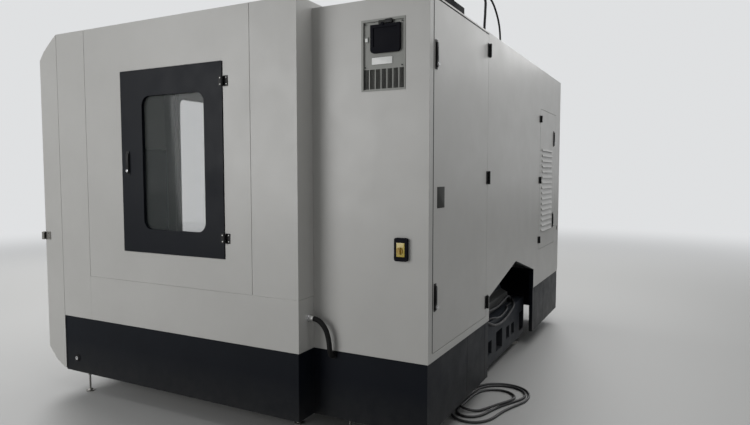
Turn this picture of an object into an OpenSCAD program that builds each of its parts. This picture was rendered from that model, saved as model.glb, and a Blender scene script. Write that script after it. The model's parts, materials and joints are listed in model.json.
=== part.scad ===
/* [Enclosure] */
// Half of the width over the side guards
guard_half_w = 2100; // [2000:1:2300]
// Half of the depth, from the centre to the front or the rear face
half_d = 1605; // [1600:1:1660]
// Height of the side guards above the floor
guard_top = 2740; // [2735:1:2900]
// Height of the electrical end above the floor
rear_top = 2700; // [2690:1:2730]
// Depth of a folded panel
panel_t = 40; // [30:1:50]
// Thickness of the sheet
skin = 3; // [2:0.5:5]
// Width of the joint line between two panels
seam = 3; // [1:0.5:5]
// Depth of the joint line between two panels
seam_depth = 4; // [3.5:0.5:8]
// Height of the plinth's lower edge above the floor
plinth_low = 140; // [120:1:148]
// Height of the plinth's upper edge above the floor
plinth_top = 574; // [540:1:590]
// How far the plinth lies behind the panels
plinth_in = 6; // [0:1:12]
// Place of the step between the guard and the electrical end
step_y = 819; // [780:1:860]
// Depth of the step between the guard and the electrical end
step_in = 168; // [150:1:190]
// Depth of the front fascia
fascia_d = 202; // [190:1:215]

/* [Side door] */
// Width of the service door in the side guard
side_door_w = 942; // [900:1:980]
// Height of the service door
side_door_h = 1276; // [1200:1:1300]
// Height of the service door's lower edge above the floor
side_door_z = 1126; // [1100:1:1150]
// Place of the service door's hinge edge
side_door_y = 243; // [200:1:260]
// Thickness of the service door
side_door_t = 36; // [30:1:45]
// How far the service door stands proud of the guard
side_door_out = 6; // [2:1:8]
// Width of the frame round the window, at the sides
window_rim_y = 184; // [160:1:220]
// Width of the frame round the window, above and below
window_rim_z = 173; // [150:1:210]
// Corner radius of the windows
window_r = 70; // [40:1:100]

/* [Rear doors] */
// Width of the electrical cabinet's door
cabinet_door_w = 1045; // [980:1:1050]
// Height of the cabinet door's lower edge above the floor
cabinet_door_z = 626; // [600:1:660]
// Height of the frame above the cabinet's door
cabinet_head = 20; // [15:1:40]
// Width of the louvred door
louvre_door_w = 761; // [700:1:800]
// Height of the louvred door
louvre_door_h = 1385; // [1360:1:1400]
// Height of the louvred door's lower edge above the floor
louvre_door_z = 929; // [915:1:940]
// Number of louvres
louvre_count = 16; // [8:1:18]
// Distance from one louvre to the next
louvre_pitch = 54; // [50:1:58]
// Width of a louvre
louvre_w = 488; // [400:1:520]
// Gap round each door
door_gap = 3; // [2:0.5:4]

/* [Handles and hinges] */
// Length of a swing handle
handle_len = 150; // [140:1:165]
// Width of a swing handle
handle_w = 26; // [24:1:32]
// How far a rear or front handle stands out
handle_out = 16; // [15:1:20]
// Height of a hinge
hinge_h = 66; // [50:1:80]
// Height of the cabinet door's hinges
cabinet_hinge_h = 95; // [80:1:110]
// Radius of a hinge's knuckle
knuckle_r = 8; // [6:0.5:9]
// Radius of a hinge's pin
pin_r = 4; // [3:0.5:5]
// Running clearance of a pin in its knuckle
pin_gap = 0.05; // [0.02:0.01:0.1]

/* [Front] */
// Half of the width of the front opening
front_half_w = 850; // [780:1:870]
// Height of the front opening's lower edge
front_low = 1000; // [960:1:1040]
// Height of the front opening's upper edge
front_high = 2470; // [2380:1:2490]
// Thickness of a sliding door
slide_door_t = 45; // [35:1:55]
// Travel of a sliding door
slide_travel = 760; // [700:1:770]
// Width of the operator panel
pendant_w = 500; // [440:1:540]
// Height of the operator panel
pendant_h = 860; // [780:1:900]
// Depth of the operator panel
pendant_d = 90; // [70:1:95]

/* [Machine] */
// Height of the base casting's underside
base_low = 80; // [60:1:100]
// Height of the column's seat on the base
seat_z = 450; // [430:1:470]
// Half of the base's width at the column
base_half_w = 875; // [840:1:890]
// Place of the base's rear face
base_rear = 1480; // [1440:1:1500]
// Place of the column's guide face
column_y = 500; // [480:1:540]
// Half of the column's width
column_half_w = 400; // [380:1:430]
// Height of the column casting
column_top = 2950; // [2900:1:3000]
// Spindle's place along the depth
spindle_y = -450; // [-470:1:-440]
// Height of the spindle's nose at the home position
nose_z = 1850; // [1840:1:1880]
// Radius of the spindle
spindle_r = 60; // [50:1:70]
// Half of the table's length
table_half_w = 900; // [800:1:950]
// Depth of the table
table_d = 800; // [700:1:820]
// Height of the table's face above the floor
table_top = 1000; // [990:1:1010]
// Width of a guide rail
rail_w = 46; // [40:1:52]
// Height of a guide rail
rail_h = 50; // [45:1:55]
// Running gap between a rail and its blocks
rail_gap = 0.5; // [0.3:0.1:1]
// Number of tool pots
pot_count = 20; // [12:1:24]

/* [Hidden] */
$fn = 48;

// Colours as the machine shows them
white_paint = [0.86, 0.86, 0.85];
charcoal = [0.12, 0.13, 0.16];
cast_grey = [0.36, 0.38, 0.40];
steel = [0.72, 0.73, 0.74];
black = [0.05, 0.05, 0.06];
glass_tint = [0.75, 0.8, 0.8, 0.4];

// Places that follow from the driving sizes
guard_in = guard_half_w - panel_t;
end_x = guard_half_w - step_in;
end_in = end_x - panel_t;
rear_in = half_d - panel_t;
front_y = -half_d;
fascia_back = front_y + fascia_d;
skirt_top = 907;
front_seam_y = -1086;
rear_seam_y = 464;
side_door_front = side_door_y - side_door_w;
side_door_top = side_door_z + side_door_h;
pin_out = 12;
side_pin = [guard_half_w + side_door_out + pin_out, side_door_y + 10];
knuckle_gap = 0.3;
hinge_leaf = 36;
leaf_t = 3.5;
side_handle_out = 26;
cabinet_post = 67;
cabinet_door_x = end_x - cabinet_post - cabinet_door_w;
cabinet_door_top = rear_top - cabinet_head;
louvre_door_x = -end_x + 1002;
louvre_far_x = louvre_door_x - louvre_door_w;
louvre_door_top = louvre_door_z + louvre_door_h;
rear_pin_y = half_d + pin_out;
cabinet_pin_x = cabinet_door_x - 10;
louvre_pin_x = louvre_door_x + 10;
gable_half_w = 735;
gable_low = 754;
gable_x = -50;
gable_high = 926;
slide_door_y = front_y + 105;
slide_door_w = front_half_w + 22;
fin_half = 7;
fin_in = 40;
track_end = slide_door_w - fin_in + slide_travel + 1;
pendant_x = 900;
pendant_z = 1050;
pendant_pin = [pendant_x + pendant_w + 10, front_y - pin_out];
front_out = front_y - 20;
dish_w = handle_w / 2 + 3;
tube_y = [600, 1000];
tube_w = 50;

// A box between two corners
module box(low, high) {
    translate(low) cube(high - low);
}

// A folded sheet panel, open on one side: axis is 0, 1 or 2, and side is -1 or 1
module tray(low, high, axis, side, wall = skin) {
    difference() {
        box(low, high);
        box([for (i = [0:2]) i == axis && side < 0 ? low[i] - 1 : low[i] + wall],
            [for (i = [0:2]) i == axis && side > 0 ? high[i] + 1 : high[i] - wall]);
    }
}

// Both sides of the machine
module both_sides() {
    children();
    mirror([1, 0, 0]) children();
}

// A flat outline with round corners
module round_rect(w, h, r) {
    translate([r, 0]) square([w - 2 * r, h]);
    translate([0, r]) square([w, h - 2 * r]);
    for (x = [r, w - r], y = [r, h - r]) translate([x, y]) circle(r);
}

// A plate in the YZ plane, from x0 to x1, drawn as an outline of y and z
module plate_yz(x0, x1) {
    translate([x0, 0, 0]) rotate([90, 0, 90]) linear_extrude(x1 - x0) children();
}

// A plate in the XZ plane, from y0 to y1, drawn as an outline of x and z
module plate_xz(y0, y1) {
    translate([0, y1, 0]) rotate([90, 0, 0]) linear_extrude(y1 - y0) children();
}

// A round bar between two points along one axis
module bar(start, along, length, r) {
    translate(start)
        rotate(along == 0 ? [0, 90, 0] : along == 1 ? [-90, 0, 0] : [0, 0, 0])
            cylinder(r = r, h = length);
}

// Cords follow a smooth curve through points chosen by hand
function unit(v) = v / norm(v);
function curve_point(a, b, c, d, t) = 0.5 * ((2 * b) + (c - a) * t
    + (2 * a - 5 * b + 4 * c - d) * t * t + (3 * b - a - 3 * c + d) * t * t * t);
function route(p, steps) = let (n = len(p)) concat(
    [for (i = [0:n - 2], s = [0:steps - 1])
        curve_point(p[max(i - 1, 0)], p[i], p[i + 1], p[min(i + 2, n - 1)], s / steps)],
    [p[n - 1]]);
function ring(centre, along, across, r, sides) =
    let (u = unit(cross(along, across)), v = cross(u, along))
    [for (k = [0:sides - 1]) centre + r * (u * cos(360 * k / sides) + v * sin(360 * k / sides))];

module cord(points, r, across, steps = 3, sides = 10) {
    path = route(points, steps);
    n = len(path);
    last = len(points) - 1;
    tangents = [for (i = [0:n - 1]) unit(i == 0 ? points[1] - points[0]
        : i == n - 1 ? points[last] - points[last - 1] : path[i + 1] - path[i - 1])];
    rings = [for (i = [0:n - 1]) each ring(path[i], tangents[i], across, r, sides)];
    walls = [for (i = [0:n - 2], k = [0:sides - 1])
        [i * sides + k, i * sides + (k + 1) % sides,
            (i + 1) * sides + (k + 1) % sides, (i + 1) * sides + k]];
    polyhedron(rings, concat(walls, [[for (k = [0:sides - 1]) sides - 1 - k]],
        [[for (k = [0:sides - 1]) (n - 1) * sides + k]]), convexity = 8);
}

// Hinge parts at their pin: the outside is +X, the frame's leaf is towards +Y and the door's towards -Y
module hinge_fixed(face, h = hinge_h) {
    third = h / 3;
    translate([0, 0, -h / 2]) cylinder(r = pin_r, h = h);
    translate([0, 0, -third / 2 + knuckle_gap]) {
        cylinder(r = knuckle_r, h = third - 2 * knuckle_gap);
        box([-face, 0, 0], [0, knuckle_r, third - 2 * knuckle_gap]);
    }
    box([-face, knuckle_gap, -h / 2], [-face + leaf_t, hinge_leaf, h / 2]);
}

module hinge_moving(face, h = hinge_h) {
    third = h / 3;
    for (z = [-h / 2, third / 2]) translate([0, 0, z])
        difference() {
            union() {
                cylinder(r = knuckle_r, h = third);
                box([-face, -knuckle_r, 0], [0, 0, third]);
            }
            translate([0, 0, -1]) cylinder(r = pin_r + pin_gap, h = third + 2);
        }
    box([-face, -hinge_leaf, -h / 2], [-face + leaf_t, -knuckle_gap, h / 2]);
}

// A swing handle's lever at its turning axis: it hangs down from the axis and stands out towards +X
module swing_lever(out) {
    lever_t = 8;
    difference() {
        translate([out - lever_t, 0, 0]) rotate([90, 0, 90]) linear_extrude(lever_t) union() {
            circle(handle_w / 2);
            translate([-handle_w / 2, -handle_len + handle_w]) square([handle_w, handle_len - handle_w]);
            translate([0, -handle_len + handle_w]) circle(handle_w / 2);
        }
        box([out - 3, -handle_w / 4, -handle_len + handle_w * 1.6],
            [out + 1, handle_w / 4, -handle_w * 0.6]);
    }
    rotate([0, 90, 0]) cylinder(r = 11, h = out - lever_t);
    translate([0, 0, -handle_len + handle_w]) rotate([0, 90, 0]) cylinder(r = 9, h = out + 1);
}

// Base casting: a T-shaped bed with two guide beds, a column seat and ribbed pockets
bed_half_w = 620;
bed_front = -1250;
bed_z = 560;
way_x = 480;
way_half_w = 70;
base_wall = 40;
module base_casting() {
    color(cast_grey) difference() {
        union() {
            translate([0, 0, base_low]) linear_extrude(seat_z - base_low)
                polygon([[-bed_half_w, bed_front], [bed_half_w, bed_front], [bed_half_w, 60],
                    [base_half_w, 300], [base_half_w, base_rear], [-base_half_w, base_rear],
                    [-base_half_w, 300], [-bed_half_w, 60]]);
            both_sides() plate_yz(way_x - way_half_w, way_x + way_half_w)
                polygon([[bed_front, seat_z - 1], [bed_front, bed_z], [column_y - 60, bed_z],
                    [column_y - 20, seat_z - 1]]);
            plate_yz(-120, 120) polygon([[bed_front, seat_z - 1], [bed_front, 500], [300, 500],
                [340, seat_z - 1]]);
        }
        // The channel for the screw between the beds
        plate_yz(-45, 45) polygon([[bed_front - 1, 460], [280, 460], [280, 501], [bed_front - 1, 501]]);
        // Ribbed underside
        for (y = [bed_front + base_wall : 330 : 1200])
            both_sides() box([base_wall / 2, y, base_low - 1],
                [bed_half_w / 2 - base_wall / 2, y + 290, seat_z - base_wall]);
        for (y = [bed_front + base_wall : 330 : 1200])
            both_sides() box([bed_half_w / 2 + base_wall / 2, y, base_low - 1],
                [bed_half_w - base_wall, y + 290, seat_z - base_wall]);
        // Core openings in the rear face
        box([-95, base_rear - 120, 145], [95, base_rear + 1, 315]);
        both_sides() {
            box([230, base_rear - 120, 170], [330, base_rear + 1, 285]);
            box([400, base_rear - 120, 172], [500, base_rear + 1, 278]);
            box([700, base_rear - 120, 140], [base_half_w - 30, base_rear + 1, 320]);
        }
        // Core openings in the sides
        both_sides() for (y = [-1100, -650, -200])
            box([bed_half_w - base_wall - 1, y, 170], [bed_half_w + 1, y + 220, 330]);
        both_sides() box([base_half_w - 100, 820, 170], [base_half_w + 1, 1120, 330]);
    }
}

// Column casting: tapered, with a flange at its foot and two windows through its sides
foot_half_w = 550;
foot_rear = 1400;
foot_t = 100;
column_rear = 985;
module column() {
    color(cast_grey) {
        difference() {
            intersection() {
                plate_yz(-foot_half_w, foot_half_w)
                    polygon([[column_y, seat_z], [foot_rear, seat_z], [foot_rear, seat_z + foot_t],
                        [foot_rear - 60, seat_z + foot_t + 30], [column_rear + 90, 1500],
                        [column_rear, 1900], [column_rear, column_top], [column_y, column_top]]);
                plate_xz(column_y - 1, foot_rear + 1)
                    polygon([[-foot_half_w, seat_z], [foot_half_w, seat_z], [foot_half_w, seat_z + foot_t],
                        [column_half_w, 1500], [column_half_w, column_top], [-column_half_w, column_top],
                        [-column_half_w, 1500], [-foot_half_w, seat_z + foot_t]]);
            }
            // Windows through the sides, with rounded corners
            plate_yz(-foot_half_w - 1, foot_half_w + 1) {
                translate([column_y + 150, 760]) round_rect(360, 380, 60);
                translate([column_y + 150, 1400]) round_rect(300, 380, 60);
                translate([column_y + 150, 2000]) round_rect(220, 380, 60);
            }
            // Channel for the screw in the guide face
            plate_xz(column_y - 1, column_y + 60)
                polygon([[-110, 1040], [110, 1040], [110, column_top - 60], [-110, column_top - 60]]);
        }
        // Beds that carry the guide rails
        both_sides() box([z_rail_x - 45, column_y - 20, 1060], [z_rail_x + 45, column_y, column_top - 40]);
    }
}

// Levelling feet: pads under the base and screws under the guard
guard_feet = [[guard_in + 12, -1165], [end_in - 62, tube_y[0] + tube_w / 2],
    [end_in - 62, tube_y[1] + tube_w / 2]];
base_feet = [[600, -1130], [600, -330], [760, 420], [760, 1380]];
module levelling_feet() {
    color(steel) both_sides() {
        for (p = base_feet) translate([p[0], p[1], 0]) {
            cylinder(r = 70, h = 24);
            cylinder(r1 = 52, r2 = 34, h = 40);
            cylinder(r = 18, h = base_low);
            translate([0, 0, 52]) cylinder(r = 28, h = 16, $fn = 6);
        }
        for (p = guard_feet) translate([p[0], p[1], 0]) {
            cylinder(r = 30, h = 8);
            cylinder(r1 = 22, r2 = 12, h = 18);
            cylinder(r = 7, h = plinth_low);
            translate([0, 0, plinth_low - 14]) cylinder(r = 13, h = 9, $fn = 6);
        }
    }
}

// Guide rails, with the screw and its bearings
screw_r = 25;
module rail_y(x) {
    y_rail_z = bed_z;
    box([x - rail_w / 2, bed_front + 20, y_rail_z], [x + rail_w / 2, column_y - 70, y_rail_z + rail_h]);
}

module y_axis() {
    color(steel) {
        both_sides() rail_y(way_x);
        y_screw_z = 540;
        bar([0, bed_front + 30, y_screw_z], 1, column_y - 130 - bed_front - 30, screw_r);
        for (y = [bed_front + 30, 180]) difference() {
            box([-70, y, 500], [70, y + 80, y_screw_z + 45]);
            bar([0, y - 1, y_screw_z], 1, 82, screw_r - 1);
        }
        bar([0, bed_front - 60, y_screw_z], 1, 90, 16);
        bar([0, bed_front - 70, y_screw_z], 1, 70, 70);
        box([-75, bed_front - 250, y_screw_z - 75], [75, bed_front - 60, y_screw_z + 75]);
    }
}

z_rail_x = 300;
z_screw_y = 470;
z_motor_z = column_top + 30;
module z_axis() {
    color(steel) {
        both_sides() box([z_rail_x - rail_w / 2, column_y - 20 - rail_h, 1080],
            [z_rail_x + rail_w / 2, column_y - 20, column_top - 60]);
        bar([0, z_screw_y, 1120], 2, column_top + 40 - 1120, screw_r);
        for (z = [1060, column_top - 140]) box([-70, z_screw_y - 50, z], [70, column_y + 60, z + 70]);
        box([-110, z_screw_y - 60, column_top], [110, z_screw_y + 200, z_motor_z]);
        bar([0, z_screw_y + 30, z_motor_z], 2, 60, 70);
        box([-80, z_screw_y - 50, z_motor_z + 60], [80, z_screw_y + 110, z_motor_z + 230]);
    }
}

// Chip pan: two sloping floors that fall from the guards to the base
pan_rear = column_y - 128;
pan_in = bed_half_w - 30;
pan_edge = seat_z + 347;
pan_top = seat_z + 410;
module chip_pan() {
    color(steel) both_sides() plate_xz(fascia_back + 10, pan_rear)
        polygon([[guard_in, pan_top], [guard_in - skin, pan_top], [guard_in - skin, pan_edge + 6],
            [pan_in, seat_z + skin], [pan_in, seat_z], [bed_half_w, seat_z], [guard_in, pan_edge]]);
}

// Splash wall between the work chamber and the column, open for the head
wall_y = pan_rear;
head_slot = 392;
module splash_wall() {
    color(charcoal) difference() {
        union() {
            both_sides() box([head_slot, wall_y, seat_z + 160], [guard_in, wall_y + 4, rear_top]);
            both_sides() box([head_slot, wall_y + 4, seat_z + 160], [head_slot + 4, wall_y + 40, rear_top]);
            both_sides() box([guard_in - 4, wall_y + 4, seat_z + 160], [guard_in, wall_y + 40, rear_top]);
            box([-head_slot, wall_y, seat_z + 160], [head_slot, wall_y + 4, 1040]);
        }
        both_sides() box([way_x - way_half_w - 20, wall_y - 1, seat_z + 150],
            [way_x + way_half_w + 20, wall_y + 41, bed_z + rail_h + 12]);
        box([beam_low[0] - 6, wall_y - 1, beam_low[2] - 6], [-head_slot + 1, wall_y + 41, beam_top + 6]);
    }
}

// Front fascia: one bent shell with its chamfers, the door opening and the panel's place
fascia_low = 150;
function fascia_outline(t) = [
    [fascia_back, fascia_low + t], [front_y + 175 - t / 2, fascia_low + 8 + t],
    [front_y + 92 + t, fascia_low + 54 + t / 2], [front_y + t, fascia_low + 150],
    [front_y + t, guard_top - 180], [front_y + 55 + t, guard_top - 112 - t / 3],
    [front_y + 165 + t / 2, guard_top - 24 - t], [fascia_back, guard_top - t * 1.7]];
module front_fascia() {
    color(white_paint) difference() {
        plate_yz(-guard_half_w, guard_half_w) polygon(fascia_outline(0));
        plate_yz(-guard_half_w + skin, guard_half_w - skin)
            polygon(concat(fascia_outline(skin), [[fascia_back + 1, guard_top - 20],
                [fascia_back + 1, fascia_low + 20]]));
        box([-front_half_w, front_y - 1, front_low], [front_half_w, front_y + 20, front_high]);
        box([pendant_x - door_gap, front_y - 1, pendant_z - door_gap],
            [pendant_x + pendant_w + door_gap, front_y + 20, pendant_z + pendant_h + door_gap]);
        both_sides() box([guard_half_w - seam_depth, fascia_back - seam / 2, 0],
            [guard_half_w + 1, fascia_back + 1, guard_top + 1]);
    }
    // Reveal round the opening, which carries the two door tracks
    color(white_paint) difference() {
        box([-front_half_w - skin, front_y + skin / 2, front_low - skin],
            [front_half_w + skin, slide_door_y - 4, front_high + skin]);
        box([-front_half_w, front_y, front_low], [front_half_w, slide_door_y, front_high]);
    }
    color(white_paint) for (z = [front_low - 38, front_high + 24])
        difference() {
            box([-guard_half_w + skin, slide_door_y - 4, z], [guard_half_w - skin, fascia_back, z + 14]);
            box([-track_end, slide_door_y + slide_door_t / 2 - fin_half - knuckle_gap, z - 1],
                [track_end, slide_door_y + slide_door_t / 2 + fin_half + knuckle_gap, z + 15]);
        }
}

// A joint line across the outer face of the right guard
module joint_line(y0, y1, z0, z1) {
    box([guard_half_w - seam_depth, y0, z0], [guard_half_w + 1, y1, z1]);
}

module guard_front() {
    color(white_paint) difference() {
        tray([guard_in, fascia_back, plinth_top], [guard_half_w, front_seam_y, guard_top], 0, -1);
        joint_line(fascia_back - 1, fascia_back + seam / 2, plinth_top - 1, guard_top + 1);
        joint_line(front_seam_y - seam / 2, front_seam_y + 1, skirt_top - seam / 2, guard_top + 1);
    }
}

// The guard's lower strip, which also wraps the step
module guard_skirt() {
    color(white_paint) difference() {
        union() {
            tray([guard_in, front_seam_y, plinth_top], [guard_half_w, step_y, skirt_top], 0, -1);
            tray([end_in, step_y - panel_t, plinth_top], [guard_in, step_y, skirt_top], 1, -1);
        }
        joint_line(front_seam_y - 1, step_y + 1, skirt_top - seam / 2, skirt_top + 1);
        box([end_in - 1, step_y - seam_depth, skirt_top - seam / 2],
            [guard_half_w + 1, step_y + 1, skirt_top + 1]);
    }
}

// The panel round the service door
module guard_surround() {
    color(white_paint) difference() {
        tray([guard_in, front_seam_y, skirt_top], [guard_half_w, rear_seam_y, guard_top], 0, -1);
        box([guard_in - 1, side_door_front - door_gap, side_door_z - door_gap],
            [guard_half_w + 1, side_door_y + door_gap, side_door_top + door_gap]);
        joint_line(front_seam_y - 1, front_seam_y + seam / 2, skirt_top - 1, guard_top + 1);
        joint_line(rear_seam_y - seam / 2, rear_seam_y + 1, skirt_top - 1, guard_top + 1);
        joint_line(front_seam_y - 1, rear_seam_y + 1, skirt_top - 1, skirt_top + seam / 2);
    }
    // Folded frame round the door's opening, with a stop behind the door
    color(white_paint) difference() {
        box([guard_in, side_door_front - door_gap - skin, side_door_z - door_gap - skin],
            [guard_half_w - skin, side_door_y + door_gap + skin, side_door_top + door_gap + skin]);
        box([guard_in - 1, side_door_front - door_gap, side_door_z - door_gap],
            [guard_half_w, side_door_y + door_gap, side_door_top + door_gap]);
    }
}

module guard_rear() {
    color(white_paint) difference() {
        union() {
            tray([guard_in, rear_seam_y, skirt_top], [guard_half_w, step_y, guard_top], 0, -1);
            tray([end_in, step_y - panel_t, skirt_top], [guard_in, step_y, guard_top], 1, -1);
        }
        joint_line(rear_seam_y - 1, rear_seam_y + seam / 2, skirt_top - 1, guard_top + 1);
        joint_line(rear_seam_y - 1, step_y + 1, skirt_top - 1, skirt_top + seam / 2);
        box([end_in - 1, step_y - seam_depth, skirt_top - 1],
            [guard_half_w + 1, step_y + 1, skirt_top + seam / 2]);
    }
}

// The plain guard of the other side, with the same joint lines
module guard_left() {
    color(white_paint) mirror([1, 0, 0]) difference() {
        union() {
            tray([guard_in, fascia_back, plinth_top], [guard_half_w, step_y, guard_top], 0, -1);
            tray([end_in, step_y - panel_t, plinth_top], [guard_in, step_y, guard_top], 1, -1);
        }
        joint_depth = skin / 2;
        for (y = [front_seam_y, rear_seam_y])
            box([guard_half_w - joint_depth, y - seam / 2, skirt_top],
                [guard_half_w + 1, y + seam / 2, guard_top + 1]);
        box([guard_half_w - joint_depth, front_seam_y, skirt_top - seam / 2],
            [guard_half_w + 1, step_y + 1, skirt_top + seam / 2]);
        joint_line(fascia_back - 1, fascia_back + seam / 2, plinth_top - 1, guard_top + 1);
    }
}

// Roof: folded sheets over the guard and over the electrical end, open for the column
cover_half_w = column_half_w + 6;
cover_front = wall_y;
cover_rear = column_rear + 5;
module roof_panels() {
    color(white_paint) difference() {
        union() {
            tray([-guard_in, fascia_back, rear_top], [guard_in, step_y - panel_t, guard_top], 2, -1);
            tray([-end_in, step_y - panel_t, rear_top], [end_in, step_y, guard_top], 2, -1);
            tray([-end_in, step_y, rear_top - panel_t], [end_in, rear_in, rear_top], 2, -1);
        }
        box([-cover_half_w + skin, cover_front + skin, rear_top - panel_t - 1],
            [cover_half_w - skin, cover_rear - skin, guard_top + 1]);
    }
    // Stiffening ribs under the sheet
    color(white_paint) for (x = [-1400, -700, 700, 1400])
        box([x - 20, fascia_back + skin, guard_top - skin - 30],
            [x + 20, step_y - panel_t - skin, guard_top - skin]);
}

// Cover over the column's head, with a flange that stands on the roof
cover_top = column_top + 290;
module column_cover() {
    color(charcoal) {
        difference() {
            box([-cover_half_w, cover_front, rear_top], [cover_half_w, cover_rear, cover_top]);
            box([-cover_half_w + skin, cover_front + skin, rear_top - 1],
                [cover_half_w - skin, cover_rear - skin, cover_top - skin]);
            box([-cover_half_w - 1, cover_front - 1, rear_top - 1], [cover_half_w + 1, step_y, guard_top]);
            // Air slots in the two sides
            for (z = [cover_top - 380 : 44 : cover_top - 120])
                box([-cover_half_w - 1, column_y + 20, z], [cover_half_w + 1, cover_rear - 130, z + 14]);
        }
        difference() {
            box([-cover_half_w - 30, cover_front - 30, guard_top],
                [cover_half_w + 30, step_y, guard_top + skin]);
            box([-cover_half_w, cover_front, guard_top - 1],
                [cover_half_w, step_y + 1, guard_top + skin + 1]);
        }
    }
}

// Plinth: dark panels round the foot, with the cross tubes that join the guard to the base
plinth_split = 1216;
module plinth_panels() {
    out_x = guard_half_w - plinth_in;
    end_out = end_x - plinth_in;
    rear_out = half_d - plinth_in;
    color(charcoal) both_sides() difference() {
        union() {
            tray([guard_in, fascia_back, plinth_low], [out_x, step_y - plinth_in, plinth_top], 0, -1);
            tray([end_in, step_y - panel_t, plinth_low], [guard_in, step_y - plinth_in, plinth_top], 1, -1);
            tray([end_in, step_y - plinth_in, plinth_low], [end_out, rear_in, plinth_top], 0, -1);
            tray([gable_half_w, rear_in, plinth_low], [end_out, rear_out, plinth_top], 1, -1);
            for (y = tube_y)
                box([base_half_w, y, plinth_low],
                    [(y < step_y ? guard_in : end_in) + skin, y + tube_w, plinth_low + 60]);
        }
        for (x = [plinth_split, gable_half_w + 80])
            box([x - seam / 2, rear_out - skin / 2, plinth_low - 1],
                [x + seam / 2, rear_out + 1, plinth_top + 1]);
    }
}

// Electrical cabinet: one welded shell with its side wall, frame and inner case
case_x = cabinet_door_x - 40;
case_front = rear_in - 465;
ac_y = [half_d - 436, half_d - 149];
ac_z = [rear_top - 534, rear_top - 119];
ac_rim = 6;
module cabinet_shell() {
    color(white_paint) difference() {
        union() {
            tray([end_in, step_y, plinth_top], [end_x, half_d, rear_top], 0, -1);
            // Frame round the door
            tray([cabinet_door_x - door_gap, rear_in, plinth_top],
                [end_in, half_d, cabinet_door_z - door_gap], 1, -1);
            tray([cabinet_door_x - door_gap, rear_in, cabinet_door_top + door_gap],
                [end_in, half_d, rear_top], 1, -1);
            tray([end_x - cabinet_post + door_gap, rear_in, cabinet_door_z - door_gap],
                [end_in + skin, half_d, cabinet_door_top + door_gap], 1, -1);
            // Inner case
            difference() {
                box([case_x, case_front, plinth_top + 30], [end_x - 1, rear_in, rear_top - panel_t]);
                box([case_x + skin, case_front + skin, plinth_top + 30 + skin],
                    [end_x - skin, rear_in + 1, rear_top - panel_t - skin]);
            }
            box([cabinet_door_x - door_gap, rear_in - skin, plinth_top + 30],
                [end_in, rear_in, cabinet_door_z - door_gap]);
        }
        box([end_in - 1, ac_y[0] + ac_rim, ac_z[0] + ac_rim],
            [end_x + 1, ac_y[1] - ac_rim, ac_z[1] - ac_rim]);
    }
}

// Mounting plate with the drives, the contactors and the terminals
module drive_plate() {
    plate_y = case_front + skin;
    plate_x = case_x + 50;
    rail_x = plate_x + 10;
    face = plate_y + 4;
    bay_top = ac_z[0] - 26;
    color(steel) {
        box([plate_x, plate_y, cabinet_door_z + 64], [plate_x + 1002, face, ac_z[1] - 21]);
        // Drive modules with their heat sinks
        for (i = [0:4]) {
            x = plate_x + 20 + i * 105;
            box([x, face, bay_top - 160], [x + 96, plate_y + 170, bay_top + 240]);
            for (k = [0:4]) box([x + 8 + k * 18, face, bay_top - 190], [x + 14 + k * 18, plate_y + 150, bay_top - 160]);
        }
        box([plate_x + 570, face, bay_top - 240], [plate_x + 870, plate_y + 150, bay_top]);
        // Rows of contactors and breakers on their rails
        for (z = [1700, 1440, 1180]) {
            box([rail_x, face, z + 30], [rail_x + 980, plate_y + 12, z + 65]);
            for (i = [0:11]) box([rail_x + 10 + i * 80, plate_y + 12, z], [rail_x + 70 + i * 80, plate_y + 90, z + 100]);
        }
        // Terminal row and transformer
        box([rail_x + 10, face, 1000], [rail_x + 960, plate_y + 55, 1050]);
        box([plate_x + 520, face, 700], [plate_x + 870, plate_y + 200, 900]);
        // Cable ducts
        for (z = [1600, 1340, 1090]) box([rail_x - 5, face, z], [rail_x + 985, plate_y + 60, z + 50]);
    }
}

// Fixed rear panel with its gable cut-out and the louvred door's opening
module rear_panel() {
    left = -end_in;
    cut = [[-gable_half_w, plinth_top - 1], [-gable_half_w, gable_low], [gable_x, gable_high],
        [gable_half_w, gable_low], [gable_half_w, plinth_top - 1]];
    rim = [[-gable_half_w - skin, plinth_top], [-gable_half_w - skin, gable_low + skin / 2],
        [gable_x, gable_high + skin], [gable_half_w + skin, gable_low + skin / 2],
            [gable_half_w + skin, plinth_top]];
    color(white_paint) difference() {
        union() {
            tray([left, rear_in, plinth_top], [cabinet_door_x - door_gap, half_d, rear_top], 1, -1);
            // Folded edges of the two openings
            plate_xz(rear_in, half_d - skin) polygon(rim);
            box([louvre_far_x - door_gap - skin, rear_in, louvre_door_z - door_gap - skin],
                [louvre_door_x + door_gap + skin, half_d - skin, louvre_door_top + door_gap + skin]);
        }
        plate_xz(rear_in - 1, half_d + 1) polygon(cut);
        box([louvre_far_x - door_gap, rear_in - 1, louvre_door_z - door_gap],
            [louvre_door_x + door_gap, half_d + 1, louvre_door_top + door_gap]);
    }
}

// Left end: its side wall and the compartment behind the louvred door
case_low = louvre_door_z - 29;
case_y = rear_in - 325;
module left_rear_shell() {
    case_far = louvre_door_x + 50;
    low = case_low;
    high = louvre_door_top + 31;
    front = case_y;
    color(white_paint) {
        mirror([1, 0, 0]) tray([end_in, step_y, plinth_top], [end_x, half_d, rear_top], 0, -1);
        difference() {
            box([-end_in, front, low], [case_far, rear_in, high]);
            box([-end_in + skin, front + skin, low + skin], [case_far - skin, rear_in + 1, high - skin]);
        }
    }
}

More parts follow.
